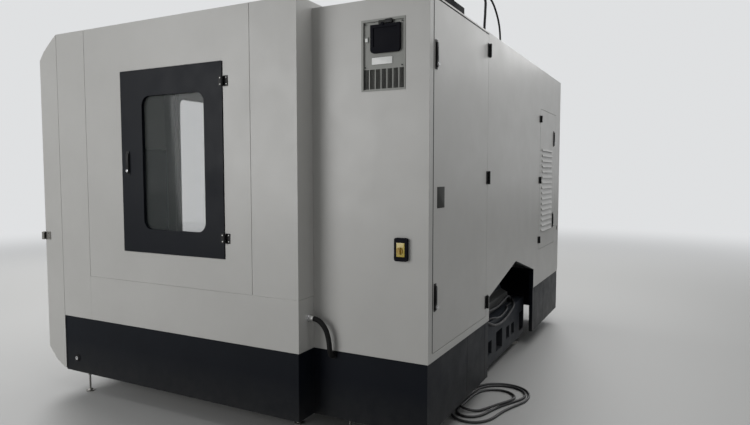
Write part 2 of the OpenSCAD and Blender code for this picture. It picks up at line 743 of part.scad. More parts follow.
// Cooling unit in the cabinet's side wall, with a row of upright slots
slot_groups = 7;
group_slots = 4;
slot_pitch_y = 8;
slot_w = 6;
module ac_unit() {
    face = end_x + 4;
    group_pitch = (ac_y[1] - ac_y[0] - 17) / slot_groups;
    color(steel) difference() {
        union() {
            box([end_x, ac_y[0], ac_z[0]], [face, ac_y[1], ac_z[1]]);
            box([end_x - 150, ac_y[0] + ac_rim + 1, ac_z[0] + ac_rim + 1],
                [end_x, ac_y[1] - ac_rim - 1, ac_z[1] - ac_rim - 1]);
        }
        box([end_x - 8, ac_y[0] + 14, ac_z[0] + 8], [face + 1, ac_y[1] - 8, ac_z[1] - 14]);
        for (g = [0:slot_groups - 1], k = [0:group_slots - 1]) {
            slot_y = ac_y[0] + 14 + g * group_pitch + k * slot_pitch_y;
            box([end_x - 22, slot_y, ac_z[0] + 14], [end_x, slot_y + slot_w, ac_z[0] + 128]);
        }
    }
}

module ac_screen() {
    w = 190;
    h = 162;
    base_x = end_x - 8;
    color(black) translate([base_x, ac_y[0] + 64, ac_z[0] + 219]) {
        difference() {
            rotate([90, 0, 90]) linear_extrude(20) union() {
                translate([20, 0]) square([w - 40, h]);
                translate([0, 20]) square([w, h - 20]);
                for (y = [20, w - 20]) translate([y, 20]) circle(20);
            }
            box([14, 18, 34], [21, w - 18, h - 18]);
        }
        translate([0, w * 0.42, h + 2]) rotate([0, 90, 0]) cylinder(r = 9, h = 26);
        box([0, w * 0.42 - 4, h - 1], [14, w * 0.42 + 4, h + 3]);
    }
}

// Isolator: a box on the side wall and the handle that turns on it
isolator_y = half_d - 173;
isolator_z = 1235;
isolator_out = 22;
module isolator_box() {
    color(black) difference() {
        translate([end_x, isolator_y - 37, isolator_z - 63]) rotate([90, 0, 90])
            linear_extrude(isolator_out) round_rect(84, 137, 12);
        bar([end_x + 6, isolator_y, isolator_z], 0, isolator_out, 6 + pin_gap);
        for (y = [-29, 39], z = [-55, 66])
            bar([end_x + isolator_out - 3, isolator_y + y, isolator_z + z], 0, 5, 3);
    }
}

module isolator_handle() {
    face = end_x + isolator_out + knuckle_gap;
    color("gold") {
        bar([end_x + 7, isolator_y, isolator_z], 0, isolator_out, 6);
        bar([face, isolator_y, isolator_z], 0, 6, 20);
        difference() {
            box([face, isolator_y - 7, isolator_z - 20], [face + 18, isolator_y + 7, isolator_z + 20]);
            bar([face + 12, isolator_y, isolator_z + 12], 0, 8, 3);
        }
    }
}

// Hose from the guard's step into the plinth
hose_r = 16;
gland_x = end_x - plinth_in;
hose_from = [end_x + 58, step_y, plinth_top + 203];
hose_to = [gland_x, step_y + 144, plinth_top - 28];
hose_points = [for (d = [[0, 20, 0], [0, 36, 0], [-1, 69, -7], [-4, 101, -32], [-8, 125, -72],
    [-12, 138, -122], [-14, 143, -167], [-18, 144, -199], [-28, 144, -222], [-40, 144, -231],
    [-50, 144, -231]]) hose_from + d];
module side_hose() {
    color(black) cord(hose_points, hose_r, [1, 0.4, 0], 2);
}

// Glands and fittings where the cables and hoses enter
module gland(length, r, hole) {
    difference() {
        union() {
            cylinder(r = r, h = length);
            cylinder(r = r + 4, h = length * 0.4, $fn = 6);
        }
        translate([0, 0, length * 0.5]) cylinder(r = hole, h = length);
    }
}

lead_exit = [1250, 1300, 560];
return_end = [base_half_w + 24, 1240, 290];
conduit_foot = [-195, 1250];
hose_foot = [-715, 1250];
head_gland_y = 900;
conduit_head_x = -240;
hose_head_x = -340;
roof_gland_h = 34;
conduit_r = 12;
roof_hose_r = 9;
module cable_glands() {
    color(steel) {
        translate(hose_from) rotate([-90, 0, 0]) gland(20, 22, hose_r - 2);
        translate(hose_to) rotate([0, 90, 0]) gland(14, 22, hose_r - 2);
        // Drain fitting in the side plinth
        translate([guard_half_w - plinth_in, front_y + 333, plinth_low + 109]) rotate([0, 90, 0]) gland(12, 15, 9);
        // Glands of the floor cable
        translate([lead_exit[0], lead_exit[1], plinth_top + 30]) rotate([180, 0, 0])
            gland(plinth_top + 30 - lead_exit[2], 18, cable_r - 1);
        translate([base_half_w, return_end[1], return_end[2]]) rotate([0, 90,
            0]) gland(return_end[0] - base_half_w, 18, cable_r - 1);
        // Glands on the roof and on the column's cover
        for (p = [[conduit_foot[0], conduit_foot[1], rear_top], [conduit_head_x, head_gland_y, cover_top]])
            translate(p) gland(roof_gland_h, 20, conduit_r - 2);
        for (p = [[hose_foot[0], hose_foot[1], rear_top], [hose_head_x, head_gland_y, cover_top]])
            translate(p) gland(roof_gland_h, 20, roof_hose_r - 2);
    }
}

// Latch bracket at the front edge of the side face
module edge_bracket() {
    low = front_low + 163;
    high = low + 62;
    face = guard_half_w;
    y = front_out + 2;
    color(steel) difference() {
        union() {
            box([face, y, low], [face + 5, front_y + 62, high]);
            box([face, y, low], [face + side_handle_out - 4, y + 5, high]);
            box([face + side_handle_out - 9, y, low], [face + side_handle_out - 4, y + 26, high]);
        }
        for (z = [low + 14, high - 14]) bar([face - 1, front_y + 44, z], 0, 7, 4);
    }
}

// Conduit and hose that rise from the roof and arch over to the column's cover
module roof_conduit() {
    color(black) cord([[conduit_foot[0], conduit_foot[1], rear_top + roof_gland_h], [-195, 1250, 2830],
        [-205, 1250, 3010], [-222, 1250, 3130], [-240, 1243, 3240], [-246, 1200, 3345], [-246, 1110, 3415],
        [-243, 1005, 3415], [-240, 925, 3375], [-240, 900, 3310],
        [conduit_head_x, head_gland_y, cover_top + roof_gland_h]], conduit_r, [1, 0, 0.02], 2, 8);
}

module roof_hose() {
    color(black) cord([[hose_foot[0], hose_foot[1], rear_top + roof_gland_h], [-715, 1250, 2860],
        [-707, 1250, 3010],
        [-668, 1250, 3109], [-590, 1245, 3205], [-490, 1225, 3300], [-425, 1165, 3375], [-375, 1075, 3410],
        [-350, 980, 3390], [-340, 915, 3340], [-340, 900, 3305],
        [hose_head_x, head_gland_y, cover_top + roof_gland_h]], roof_hose_r, [1, -0.8, 0.3], 2, 8);
}

// Cables that lie over the base's rear edge
module base_cables() {
    r = 12;
    color(black) {
        cord([[560, 1440, seat_z + r], [430, 1480, 470], [380, 1494, 460], [320, 1497, 438],
            [180, 1496, 400], [20, 1496, 384],
            [-150, 1496, 392], [-300, 1497, 420], [-400, 1497, 450], [-450, 1485, 468],
                [-520, 1460, seat_z + 20],
            [-620, 1430, seat_z + r]], r, [0, 1, 0.2], 2, 8);
        cord([[540, 1414, seat_z + r], [420, 1427, 480], [300, 1436, 520], [120, 1440, 512],
            [-60, 1440, 505],
            [-240, 1440, 520], [-400, 1438, 535], [-520, 1430, 500], [-600, 1405, seat_z + r]],
            r, [0, 1, 0.2], 2, 8);
    }
}

// Floor cable: down from the cabinet, coiled on the floor and back to the base
cable_r = 9;
coil_h = 62;
coil_centre = [900, 1690];
coil_turn = -13;
coil_end_r = 185;
coil_reach = 215;
// A point at the coil's side under the machine, by its place along the side and its distance from it
function coil_side(along, out) = concat(coil_centre + along * [cos(coil_turn), sin(coil_turn)]
    - (coil_end_r + out) * [-sin(coil_turn), cos(coil_turn)], coil_h / 2);
module floor_cable_coil() {
    color(black) translate([coil_centre[0], coil_centre[1], 0]) rotate([0, 0, coil_turn])
        linear_extrude(coil_h) union() {
            square([2 * coil_reach, 2 * coil_end_r], center = true);
            for (x = [-coil_reach, coil_reach]) translate([x, 0]) circle(coil_end_r);
        }
}

module floor_cable_lead() {
    color(black) cord([lead_exit, [1250, 1300, 520], [1250, 1300, 400], [1236, 1300, 285],
        [1195, 1298, 185],
        [1130, 1300, 108], [1060, 1318, 60], [1005, 1352, 38], coil_side(145, 80),
        coil_side(145, 40), coil_side(145, 0)], cable_r, [0.6, -0.5, 0.6], 2, 8);
}

module floor_cable_return() {
    color(black) cord([coil_side(84, 0), coil_side(84, 40), [925, 1410, 34], [930, 1370, 60], [953, 1335, 112],
        [980, 1300, 172], [985, 1268, 232], [960, 1246, 280], [928, 1240, 290], return_end],
        cable_r, [1, 0.3, 0.3], 2, 8);
}

// Pump and filter unit that the louvres cool
module pump_group() {
    front = case_y;
    y = front + 130;
    low = case_low;
    top = low + 140;
    x = louvre_x;
    color(white_paint) {
        box([x - 60, front + 20, low + skin], [x + 420, front + 240, top]);
        bar([x + 20, y, top + 80], 0, 320, 78);
        for (a = [60, 280]) box([x + a, y - 50, top], [x + a + 40, y + 50, top + 80]);
        bar([x + 180, y, top + 150], 2, 420, 55);
        box([x + 150, front + skin, top + 460], [x + 210, y - 40, top + 520]);
    }
}

// Automatic lubricator on the left wall
module lube_unit() {
    out = guard_half_w + side_handle_out;
    color(white_paint) mirror([1, 0, 0]) {
        box([end_x, step_y + 61, 1160], [end_x + 8, step_y + 281, 1500]);
        difference() {
            box([end_x + 8, step_y + 76, 1180], [out - 14, step_y + 266, 1330]);
            box([end_x + 14, step_y + 82, 1190], [out - 20, step_y + 260, 1331]);
        }
        box([end_x + 8, step_y + 71, 1330], [out - 14, step_y + 271, 1350]);
        bar([end_x + 100, step_y + 121, 1350], 2, 90, 38);
        box([end_x + 60, step_y + 181, 1350], [end_x + 140, step_y + 251, 1410]);
        bar([out - 14, step_y + 231, 1315], 0, 14, 14);
        bar([end_x + 100, step_y + 216, 1410], 2, 20, 12);
    }
    pump_group();
}

// All the fixed hinge halves with their pins
side_hinges = [side_door_z + 135, side_door_top - 127];
cabinet_hinges = [cabinet_door_z + 106, (cabinet_door_z + cabinet_door_top) / 2, cabinet_door_top - 110];
louvre_hinges = [louvre_door_z + 96, louvre_door_z + 688, louvre_door_top - 97];
pendant_hinges = [pendant_z + 120, pendant_z + pendant_h - 120];
module at_side_pin(z) {
    translate([side_pin[0], side_pin[1], z]) children();
}

module at_cabinet_pin(z) {
    translate([cabinet_pin_x, rear_pin_y, z]) rotate([0, 0, 90]) children();
}

module at_louvre_pin(z) {
    translate([louvre_pin_x, rear_pin_y, z]) mirror([1, 0, 0]) rotate([0, 0, 90]) children();
}

module at_pendant_pin(z) {
    translate([pendant_pin[0], pendant_pin[1], z]) rotate([0, 0, -90]) children();
}

module hinges() {
    color(black) {
        for (z = side_hinges) at_side_pin(z) hinge_fixed(pin_out + side_door_out);
        for (z = cabinet_hinges) at_cabinet_pin(z) hinge_fixed(pin_out, cabinet_hinge_h);
        for (z = louvre_hinges) at_louvre_pin(z) hinge_fixed(pin_out);
        for (z = pendant_hinges) at_pendant_pin(z) hinge_fixed(pin_out);
    }
}

// Service door: a frame with a rounded window, seated in the guard's opening
side_door_in = guard_half_w + side_door_out - side_door_t;
window_y = side_door_front + window_rim_y + 26;
window_w = side_door_w - 2 * window_rim_y;
window_h = side_door_h - 2 * window_rim_z - 1;
window_z = side_door_z + window_rim_z - 8;
glass_rebate = 12;
side_handle_y = side_door_front + 64;
side_handle_z = side_door_z + 692;
module service_door() {
    color(charcoal) {
        difference() {
            box([side_door_in, side_door_front, side_door_z],
                [guard_half_w + side_door_out, side_door_y, side_door_top]);
            plate_yz(side_door_in - 1, guard_half_w + side_door_out + 1)
                translate([window_y, window_z]) round_rect(window_w, window_h, window_r);
            plate_yz(side_door_in - 1, side_door_in + 14)
                translate([window_y - glass_rebate, window_z - glass_rebate])
                    round_rect(window_w + 2 * glass_rebate, window_h + 2 * glass_rebate,
                        window_r + glass_rebate);
            // The folded sheet is open behind, at both sides of the window
            for (y = [[side_door_front + 4, window_y - glass_rebate - 8],
                [window_y + window_w + glass_rebate + 8, side_door_y - 4]])
                box([side_door_in - 1, y[0], side_door_z + 4],
                    [guard_half_w + side_door_out - skin, y[1], side_door_top - 4]);
        }
        for (z = side_hinges) at_side_pin(z) hinge_moving(pin_out);
        // Dish under the handle
        box([guard_half_w + side_door_out - skin, side_handle_y - dish_w, side_handle_z - handle_len + 8],
            [guard_half_w + side_door_out + 5, side_handle_y + dish_w, side_handle_z + 24]);
    }
}

module service_glass() {
    glass_t = 8;
    color(glass_tint) plate_yz(side_door_in + 14 - glass_t, side_door_in + 14)
        translate([window_y - glass_rebate + 0.5, window_z - glass_rebate + 0.5])
            round_rect(window_w + 2 * glass_rebate - 1, window_h + 2 * glass_rebate - 1,
                window_r + glass_rebate - 1);
}

module service_handle() {
    base = guard_half_w + side_door_out + 5 + knuckle_gap;
    color(black) translate([base, side_handle_y, side_handle_z])
        swing_lever(guard_half_w + side_handle_out - base - 1);
}

// Electrical cabinet's door, a folded sheet with a stiffener, and its two handles
cabinet_handle_x = end_x - cabinet_post - 30;
cabinet_handles = [cabinet_door_z + 388, cabinet_door_top - 256];
dish_t = 4;
module rear_dish(x, z) {
    box([x - dish_w, half_d - skin, z - handle_len + 8], [x + dish_w, half_d + dish_t, z + 24]);
}

module cabinet_door() {
    far = cabinet_door_x + cabinet_door_w;
    color(white_paint) {
        tray([cabinet_door_x, rear_in, cabinet_door_z], [far, half_d, cabinet_door_top], 1, -1);
        for (x = [cabinet_door_x + 330, cabinet_door_x + 690])
            box([x, rear_in + 8, cabinet_door_z + skin], [x + 30, half_d - skin, cabinet_door_top - skin]);
        for (z = cabinet_hinges) at_cabinet_pin(z) hinge_moving(pin_out, cabinet_hinge_h);
        for (z = cabinet_handles) rear_dish(cabinet_handle_x, z);
    }
}

module rear_handle(x, z) {
    color(black) translate([x, half_d + dish_t + knuckle_gap, z]) rotate([0, 0, 90])
        swing_lever(handle_out - dish_t - knuckle_gap - 1);
}

module cabinet_handle_bottom() {
    rear_handle(cabinet_handle_x, cabinet_handles[0]);
}

module cabinet_handle_top() {
    rear_handle(cabinet_handle_x, cabinet_handles[1]);
}

// Louvred door: each louvre is a slot with a slanted hood over it
louvre_handle_x = louvre_far_x + 108;
louvre_handles = [louvre_door_z + 306, louvre_door_top - 200];
louvre_first = louvre_door_z + 169;
louvre_x = louvre_handle_x + 83;
module louvre_door() {
    hood = 12;
    hood_h = 30;
    color(white_paint) {
        difference() {
            tray([louvre_far_x, rear_in, louvre_door_z], [louvre_door_x, half_d, louvre_door_top], 1, -1);
            for (i = [0:louvre_count - 1]) {
                z = louvre_first + i * louvre_pitch;
                box([louvre_x, half_d - skin - 1, z], [louvre_x + louvre_w, half_d + 1, z + hood_h - 6]);
            }
        }
        for (i = [0:louvre_count - 1]) {
            z = louvre_first + i * louvre_pitch;
            plate_yz(louvre_x, louvre_x + louvre_w)
                polygon([[half_d - skin, z + hood_h], [half_d, z + hood_h], [half_d + hood, z + 4],
                    [half_d + hood, z], [half_d + hood - 2, z], [half_d + hood - 2, z + 3],
                    [half_d - skin, z + hood_h - 6]]);
            for (x = [louvre_x, louvre_x + louvre_w - 2])
                plate_yz(x, x + 2)
                    polygon([[half_d - skin, z + hood_h], [half_d, z + hood_h], [half_d + hood, z + 4],
                        [half_d + hood, z], [half_d - skin, z]]);
        }
        for (z = louvre_hinges) at_louvre_pin(z) hinge_moving(pin_out);
        for (z = louvre_handles) rear_dish(louvre_handle_x, z);
    }
}

module louvre_handle_bottom() {
    rear_handle(louvre_handle_x, louvre_handles[0]);
}

module louvre_handle_top() {
    rear_handle(louvre_handle_x, louvre_handles[1]);
}

// Sliding front doors, with fins that run in the tracks
slide_window_x = [118, front_half_w - 65];
slide_window_z = [1070, front_high - 70];
module sliding_door() {
    low = front_low - 20;
    high = front_high + 20;
    y1 = slide_door_y + slide_door_t;
    fin_y = slide_door_y + slide_door_t / 2;
    color(white_paint) {
        difference() {
            box([1, slide_door_y, low], [slide_door_w, y1, high]);
            plate_xz(slide_door_y - 1, y1 + 1) translate([slide_window_x[0], slide_window_z[0]])
                round_rect(slide_window_x[1] - slide_window_x[0], slide_window_z[1] - slide_window_z[0],
                    window_r);
            plate_xz(slide_door_y + 20, y1 + 1)
                translate([slide_window_x[0] - glass_rebate, slide_window_z[0] - glass_rebate])
                    round_rect(slide_window_x[1] - slide_window_x[0] + 2 * glass_rebate,
                        slide_window_z[1] - slide_window_z[0] + 2 * glass_rebate, window_r + glass_rebate);
            box([slide_window_x[1] + 30, slide_door_y + skin, low + 4],
                [slide_door_w - 4, y1 + 1, high - 4]);
        }
        box([fin_in, fin_y - fin_half, low - 17], [slide_door_w - fin_in, fin_y + fin_half, low]);
        box([fin_in, fin_y - fin_half, high], [slide_door_w - fin_in, fin_y + fin_half, high + 17]);
        // Upright grab bar on two posts
        bar([62, slide_door_y - 42, 1380], 2, 380, 13);
        for (z = [1400, 1740]) bar([62, slide_door_y - 42, z], 1, 44, 9);
    }
}

module sliding_glass() {
    w = slide_window_x[1] - slide_window_x[0];
    h = slide_window_z[1] - slide_window_z[0];
    color(glass_tint) plate_xz(slide_door_y + 20, slide_door_y + 28)
        translate([slide_window_x[0] - glass_rebate + 0.5, slide_window_z[0] - glass_rebate + 0.5])
            round_rect(w + 2 * glass_rebate - 1, h + 2 * glass_rebate - 1, window_r + glass_rebate - 1);
}

module front_door_right() {
    sliding_door();
}

module front_door_left() {
    mirror([1, 0, 0]) sliding_door();
}

module front_glass_right() {
    sliding_glass();
}

module front_glass_left() {
    mirror([1, 0, 0]) sliding_glass();
}

// Saddle: a long bed on four blocks, with a nut on the Y screw
saddle_top = 790;
saddle_half_w = 1050;
block_half = 60;
y_block = 280;
x_block = 200;
x_rail_y = 260;
x_screw_z = 826;
x_rail_top = saddle_top + rail_h;
table_low = 880;
module saddle() {
    y_rail_top = bed_z + rail_h;
    color(cast_grey) {
        difference() {
            plate_xz(spindle_y - 380, spindle_y + 380)
                polygon([[-saddle_half_w, 730], [-640, 650], [640, 650], [saddle_half_w, 730],
                    [saddle_half_w, saddle_top], [-saddle_half_w, saddle_top]]);
            // Ribbed underside of the two ends, and the trough under the table
            both_sides() for (y = [spindle_y - 340, spindle_y + 20])
                box([660, y, 600], [1000, y + 320, 762]);
            box([-saddle_half_w - 1, spindle_y - 130, saddle_top - 18],
                [saddle_half_w + 1, spindle_y + 130, saddle_top + 1]);
        }
        both_sides() for (s = [-1, 1]) difference() {
            box([way_x - 62, spindle_y + s * y_block - block_half, 574],
                [way_x + 62, spindle_y + s * y_block + block_half, 650]);
            box([way_x - rail_w / 2 - rail_gap, spindle_y - 400, 570],
                [way_x + rail_w / 2 + rail_gap, spindle_y + 400, y_rail_top + rail_gap]);
        }
        difference() {
            box([-62, spindle_y - 60, 508], [62, spindle_y + 60, 650]);
            bar([0, spindle_y - 61, 540], 1, 122, screw_r + 1);
        }
    }
}

// Guide rails, screw and motor that ride on the saddle
module x_axis() {
    color(steel) {
        for (s = [-1, 1])
            box([-saddle_half_w + 10, spindle_y + s * x_rail_y - rail_w / 2, saddle_top],
                [saddle_half_w - 10, spindle_y + s * x_rail_y + rail_w / 2, x_rail_top]);
        bar([-saddle_half_w + 20, spindle_y, x_screw_z], 0, 2 * saddle_half_w - 40, 20);
        for (x = [-saddle_half_w + 20, saddle_half_w - 80])
            box([x, spindle_y - 55, saddle_top - 18], [x + 60, spindle_y + 55, x_screw_z + 38]);
        bar([saddle_half_w - 25, spindle_y, x_screw_z], 0, 30, 38);
        box([saddle_half_w, spindle_y - 45, x_screw_z - 44],
            [saddle_half_w + 170, spindle_y + 45, x_screw_z + 44]);
    }
}

// Table: five T-slots along its length, a coolant gutter and four blocks beneath
slot_pitch = 150;
module table() {
    y0 = spindle_y - table_d / 2;
    y1 = spindle_y + table_d / 2;
    color(cast_grey) {
        difference() {
            box([-table_half_w, y0, table_low], [table_half_w, y1, table_top]);
            for (i = [-2:2]) plate_yz(-table_half_w - 1, table_half_w + 1)
                translate([spindle_y + i * slot_pitch, table_top])
                    polygon([[-9, 1], [-9, -20], [-16, -20], [-16, -34], [16, -34], [16, -20], [9, -20],
                        [9, 1]]);
            for (y = [y0 - 1, y1 - 24]) box([-table_half_w - 1, y, table_top - 22],
                [table_half_w + 1, y + 25, table_top + 1]);
            // Lightened underside between the blocks and the nut
            both_sides() box([320, spindle_y - 180, table_low - 1],
                [table_half_w - 40, spindle_y + 180, table_low + 50]);
        }
        for (sx = [-1, 1], sy = [-1, 1]) difference() {
            box([sx * x_block - block_half, spindle_y + sy * x_rail_y - 62, saddle_top + 14],
                [sx * x_block + block_half, spindle_y + sy * x_rail_y + 62, table_low]);
            box([-400, spindle_y + sy * x_rail_y - rail_w / 2 - rail_gap, saddle_top],
                [400, spindle_y + sy * x_rail_y + rail_w / 2 + rail_gap, x_rail_top + rail_gap]);
        }
        difference() {
            box([-70, spindle_y - 60, saddle_top], [70, spindle_y + 60, table_low]);
            bar([-71, spindle_y, x_screw_z], 0, 142, 21);
        }
    }
}

// Spindle head: a cast arm on four blocks, with the motor on top
head_low = nose_z + 50;
head_top = 2450;
head_half_w = 230;
head_face = column_y - 20 - rail_h;
bore_r = spindle_r + knuckle_gap;
module spindle_head() {
    color(white_paint) difference() {
        union() {
            plate_yz(-head_half_w, head_half_w)
                polygon([[head_face - 30, head_low], [head_face - 30, head_top], [60, head_top],
                    [-250, head_top - 20],
                    [-600, head_top - 40], [-640, head_top - 90], [-640, nose_z + 240],
                        [-610, nose_z + 130],
                    [-570, nose_z + 100], [-330, nose_z + 100], [-150, nose_z + 130],
                        [150, head_low + 10]]);
            // Carriage with its blocks and the nut
            box([-370, head_face - 70, head_low - 20], [370, head_face - 30, head_top]);
            both_sides() for (z = [head_low + 20, head_top - 140])
                box([z_rail_x - 62, head_face - 30, z], [z_rail_x + 62, head_face + 36, z + 120]);
            box([-60, head_face - 31, 2120], [60, column_y + 6, 2220]);
            translate([0, spindle_y, nose_z + 10]) cylinder(r = 95, h = 100);
            // Motor and its fan
            box([-125, spindle_y - 125, head_top - 60], [125, spindle_y + 125, 2640]);
            bar([0, spindle_y, 2640], 2, 48, 105);
        }
        both_sides() box([z_rail_x - rail_w / 2 - rail_gap, head_face - rail_gap, head_low - 40],
            [z_rail_x + rail_w / 2 + rail_gap, column_y, head_top + 1]);
        bar([0, z_screw_y, 2119], 2, 102, screw_r + 1);
        bar([0, spindle_y, nose_z + 9], 2, 452, bore_r);
    }
}

// Spindle with its taper and two driving keys
module spindle() {
    color(steel) {
        difference() {
            union() {
                bar([0, spindle_y, nose_z], 2, 460, spindle_r);
                bar([0, spindle_y, nose_z + 2], 2, 8, spindle_r + 18);
            }
            translate([0, spindle_y, nose_z - 0.01]) cylinder(r1 = 35, r2 = 20, h = 102);
            bar([0, spindle_y, nose_z + 100], 2, 380, 12);
        }
        for (s = [-1, 1]) box([s * 46 - 8, spindle_y - 8, nose_z - 8],
            [s * 46 + 8, spindle_y + 8, nose_z + 1]);
    }
}

// Tool magazine: the frame on the column, and the wheel of pots
arm_x = -330;
arm_reach = 330;
wheel_x = -760;
wheel_z = 2300;
wheel_r = 330;
pot_ring = 290;
axle_r = 40;
arm_z = nose_z - 60;
beam_low = [-560, spindle_y + 120, 2300];
beam_top = 2450;
gearbox_low = 2000;
module magazine_frame() {
    color(cast_grey) {
        box(beam_low, [-column_half_w, 700, beam_top]);
        difference() {
            box([-480, spindle_y - 110, gearbox_low], [-245, spindle_y + 120, beam_top]);
            bar([arm_x, spindle_y, gearbox_low - 1], 2, 101, axle_r + knuckle_gap);
        }
        bar([wheel_x - 12, spindle_y, wheel_z], 0, -480 - wheel_x + 13, axle_r);
        bar([wheel_x - 12, spindle_y, wheel_z], 0, 12, axle_r + 14);
        box([-640, spindle_y - 60, 2380], [-479, spindle_y + 60, beam_top]);
    }
}

module tool_carousel() {
    color(charcoal) difference() {
        union() {
            bar([wheel_x, spindle_y, wheel_z], 0, 30, wheel_r);
            bar([wheel_x, spindle_y, wheel_z], 0, 60, 90);
            for (i = [0:pot_count - 1])
                translate([0, spindle_y, wheel_z]) rotate([i * 360 / pot_count, 0, 0])
                    bar([wheel_x - 95, 0, -pot_ring], 0, 96, 34);
        }
        bar([wheel_x - 1, spindle_y, wheel_z], 0, 62, axle_r + knuckle_gap);
        for (i = [0:pot_count - 1])
            translate([0, spindle_y, wheel_z]) rotate([i * 360 / pot_count, 0, 0])
                bar([wheel_x - 96, 0, -pot_ring], 0, 80, 22);
        for (i = [0:5]) translate([0, spindle_y, wheel_z]) rotate([i * 60, 0, 0])
            bar([wheel_x - 1, 0, 170], 0, 32, 52);
    }
}

// Change arm with a fork at each end, parked along the depth
module change_arm() {
    color(steel) difference() {
        union() {
            translate([arm_x, spindle_y, arm_z]) linear_extrude(40) {
                square([84, 2 * arm_reach - 60], center = true);
                circle(72);
                for (s = [-1, 1]) translate([0, s * arm_reach]) circle(56);
            }
            bar([arm_x, spindle_y, arm_z + 40], 2, 40, 58);
            bar([arm_x, spindle_y, arm_z + 79], 2, gearbox_low + 90 - arm_z - 79, axle_r);
            bar([arm_x, spindle_y, gearbox_low - 12], 2, 12, axle_r + 14);
        }
        translate([arm_x, spindle_y, arm_z - 1]) linear_extrude(42) for (s = [0, 180]) rotate(s) {
            translate([0, arm_reach]) circle(33);
            translate([0, arm_reach - 26]) square([60, 52]);
        }
    }
}

// Operator panel: a hinged box with a sunk screen and rows of keys
knob_at = [pendant_x + 400, pendant_z + 130];
stop_at = [pendant_x + 90, pendant_z + 130];
start_at = [pendant_x + 190, pendant_z + 130];
controls_y = front_y + 22;
module pendant() {
    face = front_y;
    color(charcoal) {
        difference() {
            union() {
                box([pendant_x, face, pendant_z], [pendant_x + pendant_w, face + 26,
                    pendant_z + pendant_h]);
                box([pendant_x + 15, face + 25, pendant_z],
                    [pendant_x + pendant_w, face + pendant_d, pendant_z + pendant_h]);
            }
            box([pendant_x + 60, face - 1, pendant_z + 520],
                [pendant_x + pendant_w - 60, face + 6, pendant_z + pendant_h - 50]);
            // Recess of the controls
            box([pendant_x + 35, face - 1, pendant_z + 60],
                [pendant_x + pendant_w - 30, controls_y, pendant_z + 495]);
            bar([stop_at[0], controls_y - 1, stop_at[1]], 1, 50, 11.3);
            bar([knob_at[0], controls_y - 1, knob_at[1]], 1, 24, 5 + pin_gap);
            bar([start_at[0], controls_y - 1, start_at[1]], 1, 24, 11.3);
        }
        // Key field
        for (r = [0:4], c = [0:9])
            box([pendant_x + 70 + c * 37, controls_y - 3, pendant_z + 270 + r * 44],
                [pendant_x + 98 + c * 37, controls_y + 1, pendant_z + 298 + r * 44]);
        difference() {
            bar([stop_at[0], controls_y - 10, stop_at[1]], 1, 11, 26);
            bar([stop_at[0], controls_y - 11, stop_at[1]], 1, 13, 11.3);
        }
        for (z = pendant_hinges) at_pendant_pin(z) hinge_moving(pin_out);
    }
}

module emergency_stop() {
    color("red") {
        bar([stop_at[0], front_out, stop_at[1]], 1, 15, 21);
        bar([stop_at[0], front_out + 14, stop_at[1]], 1, 45, 11);
    }
}

module override_knob() {
    color(black) {
        bar([knob_at[0], controls_y - 28, knob_at[1]], 1, 27.7, 19);
        bar([knob_at[0], controls_y - 1, knob_at[1]], 1, 22, 5);
        box([knob_at[0] - 2, controls_y - 30, knob_at[1]],
            [knob_at[0] + 2, controls_y - 27, knob_at[1] + 18]);
    }
}

module start_button() {
    color("green") bar([start_at[0], controls_y - 10, start_at[1]], 1, 26, 11);
}

base_casting();
column();
levelling_feet();
y_axis();
z_axis();
chip_pan();
splash_wall();
front_fascia();
guard_front();
guard_skirt();
guard_surround();
guard_rear();
guard_left();
roof_panels();
column_cover();
plinth_panels();
cabinet_shell();
drive_plate();
rear_panel();
left_rear_shell();
ac_unit();
ac_screen();
isolator_box();
side_hose();
cable_glands();
edge_bracket();
roof_conduit();
roof_hose();
base_cables();
floor_cable_lead();
floor_cable_coil();
floor_cable_return();
lube_unit();
hinges();
magazine_frame();
isolator_handle();
service_door();
service_glass();
service_handle();
cabinet_door();
cabinet_handle_top();
cabinet_handle_bottom();
louvre_door();
louvre_handle_top();
louvre_handle_bottom();
front_door_right();
front_door_left();
front_glass_right();
front_glass_left();
saddle();
x_axis();
table();
spindle_head();
spindle();
tool_carousel();
change_arm();
pendant();
emergency_stop();
override_knob();
start_button();
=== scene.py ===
import bmesh
import bpy
import json
import math
from mathutils import Matrix, Vector


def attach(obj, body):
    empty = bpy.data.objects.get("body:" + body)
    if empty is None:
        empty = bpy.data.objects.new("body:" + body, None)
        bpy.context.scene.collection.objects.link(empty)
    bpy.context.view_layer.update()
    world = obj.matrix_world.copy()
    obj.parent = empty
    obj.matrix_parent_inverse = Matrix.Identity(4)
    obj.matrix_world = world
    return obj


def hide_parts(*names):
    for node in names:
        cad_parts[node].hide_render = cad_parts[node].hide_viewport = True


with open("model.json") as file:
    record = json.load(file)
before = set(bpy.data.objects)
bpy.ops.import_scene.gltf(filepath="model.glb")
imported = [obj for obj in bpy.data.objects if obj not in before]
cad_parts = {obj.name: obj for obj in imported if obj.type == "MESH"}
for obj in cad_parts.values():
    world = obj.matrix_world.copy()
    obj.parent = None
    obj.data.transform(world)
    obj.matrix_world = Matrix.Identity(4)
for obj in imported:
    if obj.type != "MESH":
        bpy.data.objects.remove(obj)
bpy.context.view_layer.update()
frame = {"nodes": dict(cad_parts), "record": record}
nodes = frame["nodes"]
bodyOf = {n: b for b, names in frame["record"]["behaviour"]["bodies"].items() for n in names}
print("stage: the packed model is in")


shot = {"place": (5.078, 2.9025, 1.684), "forward": (-0.8845, -0.4621, -0.0653), "lens": 28.66,
        "sensor": 36, "farEnd": 200}


def lookAlong(direction):
    return Vector(direction).to_track_quat("-Z", "Y").to_euler()


